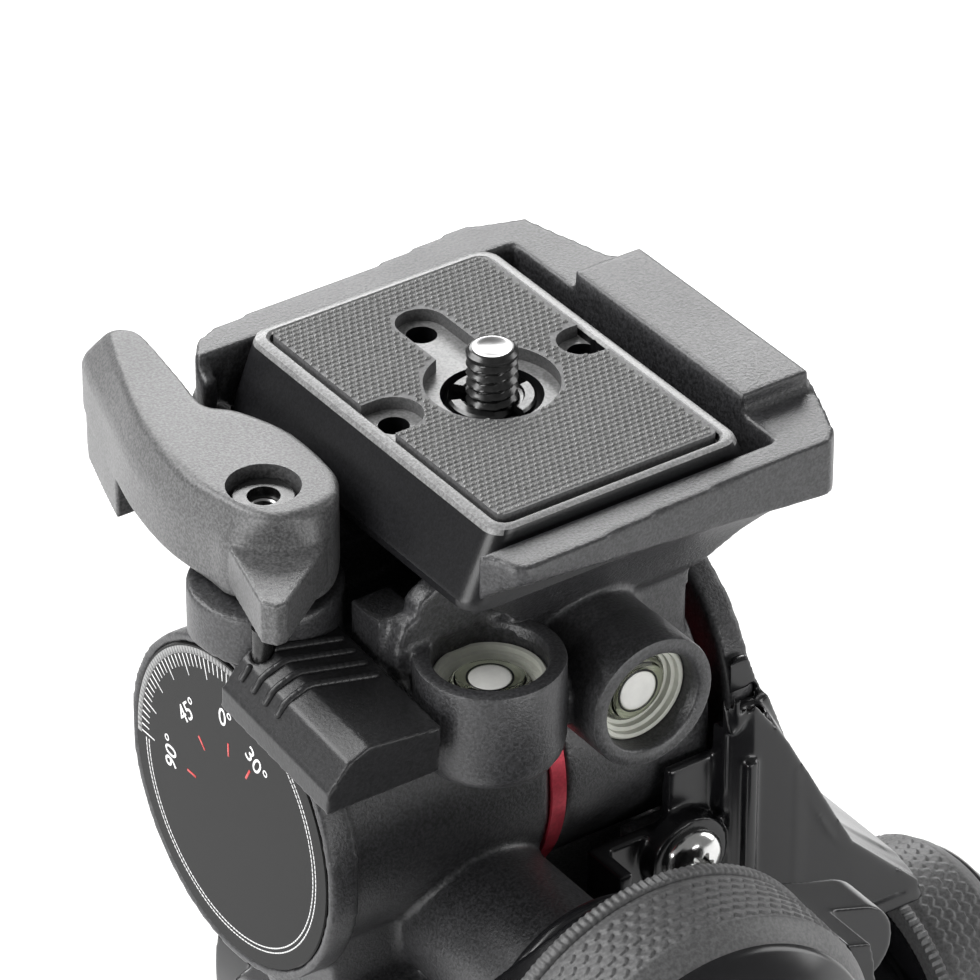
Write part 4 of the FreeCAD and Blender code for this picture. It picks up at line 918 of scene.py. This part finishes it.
def make_fairing():
    """Fairing with a rounded rim and a smooth wall over its recess, and its button screw."""
    base = cad_copy("side_fairing", "fairing_moulding")
    loops = []
    for y, offset in FAIRING_ROUND:
        loops.append([Vector((p.x, y, p.z)) for p in fairing_offset(offset)] + [Vector((80, y, 45)),
                                                                                Vector((80, y, 105))])
    boolean(base, [loft("edge_round", loops), box("horn", (5, -40, 87.3), (60, -20.0, 115)),
                   box("crest", (5, -40, 93.0), (60, 40, 115))])
    stations = []
    for x, front in FAIRING_WALL:
        rim = np.interp(x, [spot[0] for spot in FAIRING_LINE], [spot[1] for spot in FAIRING_LINE]) - 0.8
        top = min(rim, SIDE_Z + SWEEP_SLOPE * abs(front) - 0.3)
        shelf = min(rim, SWEEP_SHELF)
        stations.append([Vector((x, -21.0, 51.6)), Vector((x, front, 51.6)), Vector((x, front, top)),
                         Vector((x, min(front + 0.3, -25.1), top if front < -25.1 else shelf)),
                         Vector((x, -21.0, shelf))])
    fill = loft("recess", stations)
    cast_skin(base, [fill], 0.35, 6)
    hand_over(base, "cradle", GLOSS, ("side_fairing",))
    at, direction = (12.3, -24.6, 70.4), -Y
    head = [(0, 0), (4.2, 0), (4.2, 0.25)]
    head += [(4.2 * math.cos(a), 0.25 + 2.0 * math.sin(a)) for a in (math.pi / 2 * k / 10 for k in range(1,
                                                                                                         9))]
    head += [(0, 2.2)]
    screw = lathe("fairing_button_screw", head, at, direction, 96)
    star = []
    for step in range(72):
        angle = 2 * math.pi * step / 72
        radius = 1.62 + 0.32 * math.cos(6 * angle)
        star.append((radius * math.cos(angle), radius * math.sin(angle)))
    boolean(screw, [prism("star", star, 0.7, 4.0, basis(at, direction))])
    bevelled(screw, 0.08, 2, 50)
    hand_over(screw, "cradle", CHROME, ("fairing_screw",), sharp=45)


make_fairing()


# ---------------------------------------------------------------- remaining skins

def soften(node, body, material, voxel=0.35, rounds=5):
    hand_over(cast_skin(cad_copy(node, node + "_skin"), [], voxel, rounds), body, material, (node,))


soften("tilt_pointer", "platform", MOULD, 0.25, 4)
soften("front_gear_cover", "cradle", GLOSS)
soften("rear_hinge_cover", "cradle", GLOSS)
soften("foot_disc", "base", CAST, 0.5, 4)


def make_right_ring():
    """Red ring of the right hinge, kept behind the knuckle."""
    ring = lathe("right_ring", ((6.5, 0), (13.7, 0), (14.1, 0.4), (14.1, 1.8), (13.7, 2.2), (6.5, 2.2)),
                 (19.1, 0, SIDE_Z), X)
    hand_over(ring, "cradle", RED, ("right_hinge_ring",), sharp=40)


def make_pointer_ridges():
    """Rounded ridges laid over the pointer's top."""
    pointer = cad_copy("tilt_pointer", "pointer_probe")
    tree = BVHTree.FromPolygons([v.co.copy() for v in pointer.data.vertices],
                                [tuple(face.vertices) for face in pointer.data.polygons])
    drop(pointer)
    for index in range(RIDGES):
        y = RIDGE_FIRST + index * RIDGE_PITCH
        track = []
        for step in range(15):
            x = -40.0 + step * 0.9
            hit = tree.ray_cast(Vector((x, y - 0.12 * step, 125.0)), -Z)[0]
            if hit is not None and hit.z > 99.0:
                track.append(hit)
        for part, (low, high) in enumerate(zip(track, track[1:])):
            length = (high - low).length
            if length > 3.0:
                continue
            ridge = lathe(f"pointer_ridge_{index}_{part}", ((0, -0.5), (0.4, -0.3), (0.5, 0), (0.5, length),
                                                            (0.4, length + 0.3), (0, length + 0.5)), low,
                                                            high - low, 16)
            hand_over(ridge, "platform", MOULD, ())


make_right_ring()
make_pointer_ridges()


# ---------------------------------------------------------------- stage, light, camera

def make_stage():
    floor = bpy.data.meshes.new("floor")
    reach = 3.0
    floor.from_pydata([(-reach, -reach, 0), (reach, -reach, 0), (reach, reach, 0), (-reach, reach, 0)], [],
                      [(0, 1, 2, 3)])
    thing = bpy.data.objects.new("floor", floor)
    bpy.context.scene.collection.objects.link(thing)
    thing.location.z = -0.012
    paper = bpy.data.materials.new("paper")
    paper.use_nodes = True
    tree = paper.node_tree
    shader = tree.nodes["Principled BSDF"]
    set_input(shader, "Roughness", 0.9)
    set_input(shader, "Specular IOR Level", 0.0)
    noise = tree.nodes.new("ShaderNodeTexNoise")
    noise.inputs["Scale"].default_value = 3.0
    ramp = tree.nodes.new("ShaderNodeValToRGB")
    ramp.color_ramp.elements[0].color = (0.90, 0.90, 0.90, 1)
    ramp.color_ramp.elements[1].color = (0.94, 0.94, 0.94, 1)
    tree.links.new(noise.outputs["Fac"], ramp.inputs["Fac"])
    tree.links.new(ramp.outputs["Color"], shader.inputs["Base Color"])
    floor.materials.append(paper)


def lamp(name, at, aim, width, height, watts, colour=(1, 1, 1)):
    data = bpy.data.lights.new(name, "AREA")
    data.shape = "RECTANGLE"
    data.size, data.size_y = width, height
    data.energy = watts
    data.color = colour
    thing = bpy.data.objects.new(name, data)
    bpy.context.scene.collection.objects.link(thing)
    thing.location = at
    thing.rotation_euler = (Vector(aim) - Vector(at)).to_track_quat("-Z", "Y").to_euler()
    return thing


def make_light():
    world = bpy.data.worlds.new("studio")
    bpy.context.scene.world = world
    world.use_nodes = True
    tree = world.node_tree
    nodes, links = tree.nodes, tree.links
    plain = nodes["Background"]
    plain.inputs["Color"].default_value = (1, 1, 1, 1)
    plain.inputs["Strength"].default_value = 0.24
    white = nodes.new("ShaderNodeBackground")
    white.inputs["Color"].default_value = (1, 1, 1, 1)
    white.inputs["Strength"].default_value = 1.0
    path = nodes.new("ShaderNodeLightPath")
    seen = path.outputs["Is Camera Ray"]
    for kind in ("Is Transmission Ray",):
        either = nodes.new("ShaderNodeMath")
        either.operation = "MAXIMUM"
        links.new(seen, either.inputs[0])
        links.new(path.outputs[kind], either.inputs[1])
        seen = either.outputs[0]
    mix = nodes.new("ShaderNodeMixShader")
    links.new(seen, mix.inputs["Fac"])
    links.new(plain.outputs[0], mix.inputs[1])
    links.new(white.outputs[0], mix.inputs[2])
    links.new(mix.outputs[0], nodes["World Output"].inputs["Surface"])
    centre = (0, 0, 0.10)
    lamp("key", (-0.45, 0.45, 0.75), centre, 0.7, 0.5, 9.0)
    lamp("back", (0.35, 0.75, 0.55), centre, 0.9, 0.35, 9.0)
    lamp("left_fill", (-0.9, -0.10, 0.25), centre, 0.5, 0.4, 5.0)
    lamp("front_fill", (0.15, -0.9, 0.12), centre, 0.5, 0.3, 3.0)
    lamp("right_fill", (0.8, -0.2, 0.35), centre, 0.4, 0.6, 3.0)



CAMERA_TURN = -34.8
CAMERA_RISE = 33.5
FRAME_PIXELS = 980
FOCAL_PIXELS = 6850.0
PIXELS_PER_MM = 8.48
PLATE_PIXEL = (492.1, 385.2)    # where the plate's top centre falls in the 980 by 980 frame


def make_camera():
    turn, rise = math.radians(CAMERA_TURN), math.radians(CAMERA_RISE)
    back = Vector((math.sin(turn) * math.cos(rise), -math.cos(turn) * math.cos(rise), math.sin(rise)))
    right = Vector((math.cos(turn), math.sin(turn), 0))
    up = back.cross(right)
    distance = FOCAL_PIXELS / PIXELS_PER_MM
    across = (PLATE_PIXEL[0] - FRAME_PIXELS / 2) / PIXELS_PER_MM
    down = (PLATE_PIXEL[1] - FRAME_PIXELS / 2) / PIXELS_PER_MM
    place = Vector((0, 0, TOP_Z)) - right * across + up * down + back * distance
    data = bpy.data.cameras.new("photo_view")
    data.sensor_fit = "HORIZONTAL"
    data.sensor_width = 36.0
    data.lens = FOCAL_PIXELS / FRAME_PIXELS * data.sensor_width
    data.clip_start = 0.01
    data.clip_end = 20.0
    camera = bpy.data.objects.new("photo_view", data)
    bpy.context.scene.collection.objects.link(camera)
    camera.matrix_world = Matrix.Translation(place * MM) @ Matrix((right, up, back)).transposed().to_4x4()
    bpy.context.scene.camera = camera


make_stage()
make_light()
make_camera()
bpy.context.scene.view_settings.view_transform = "Standard"
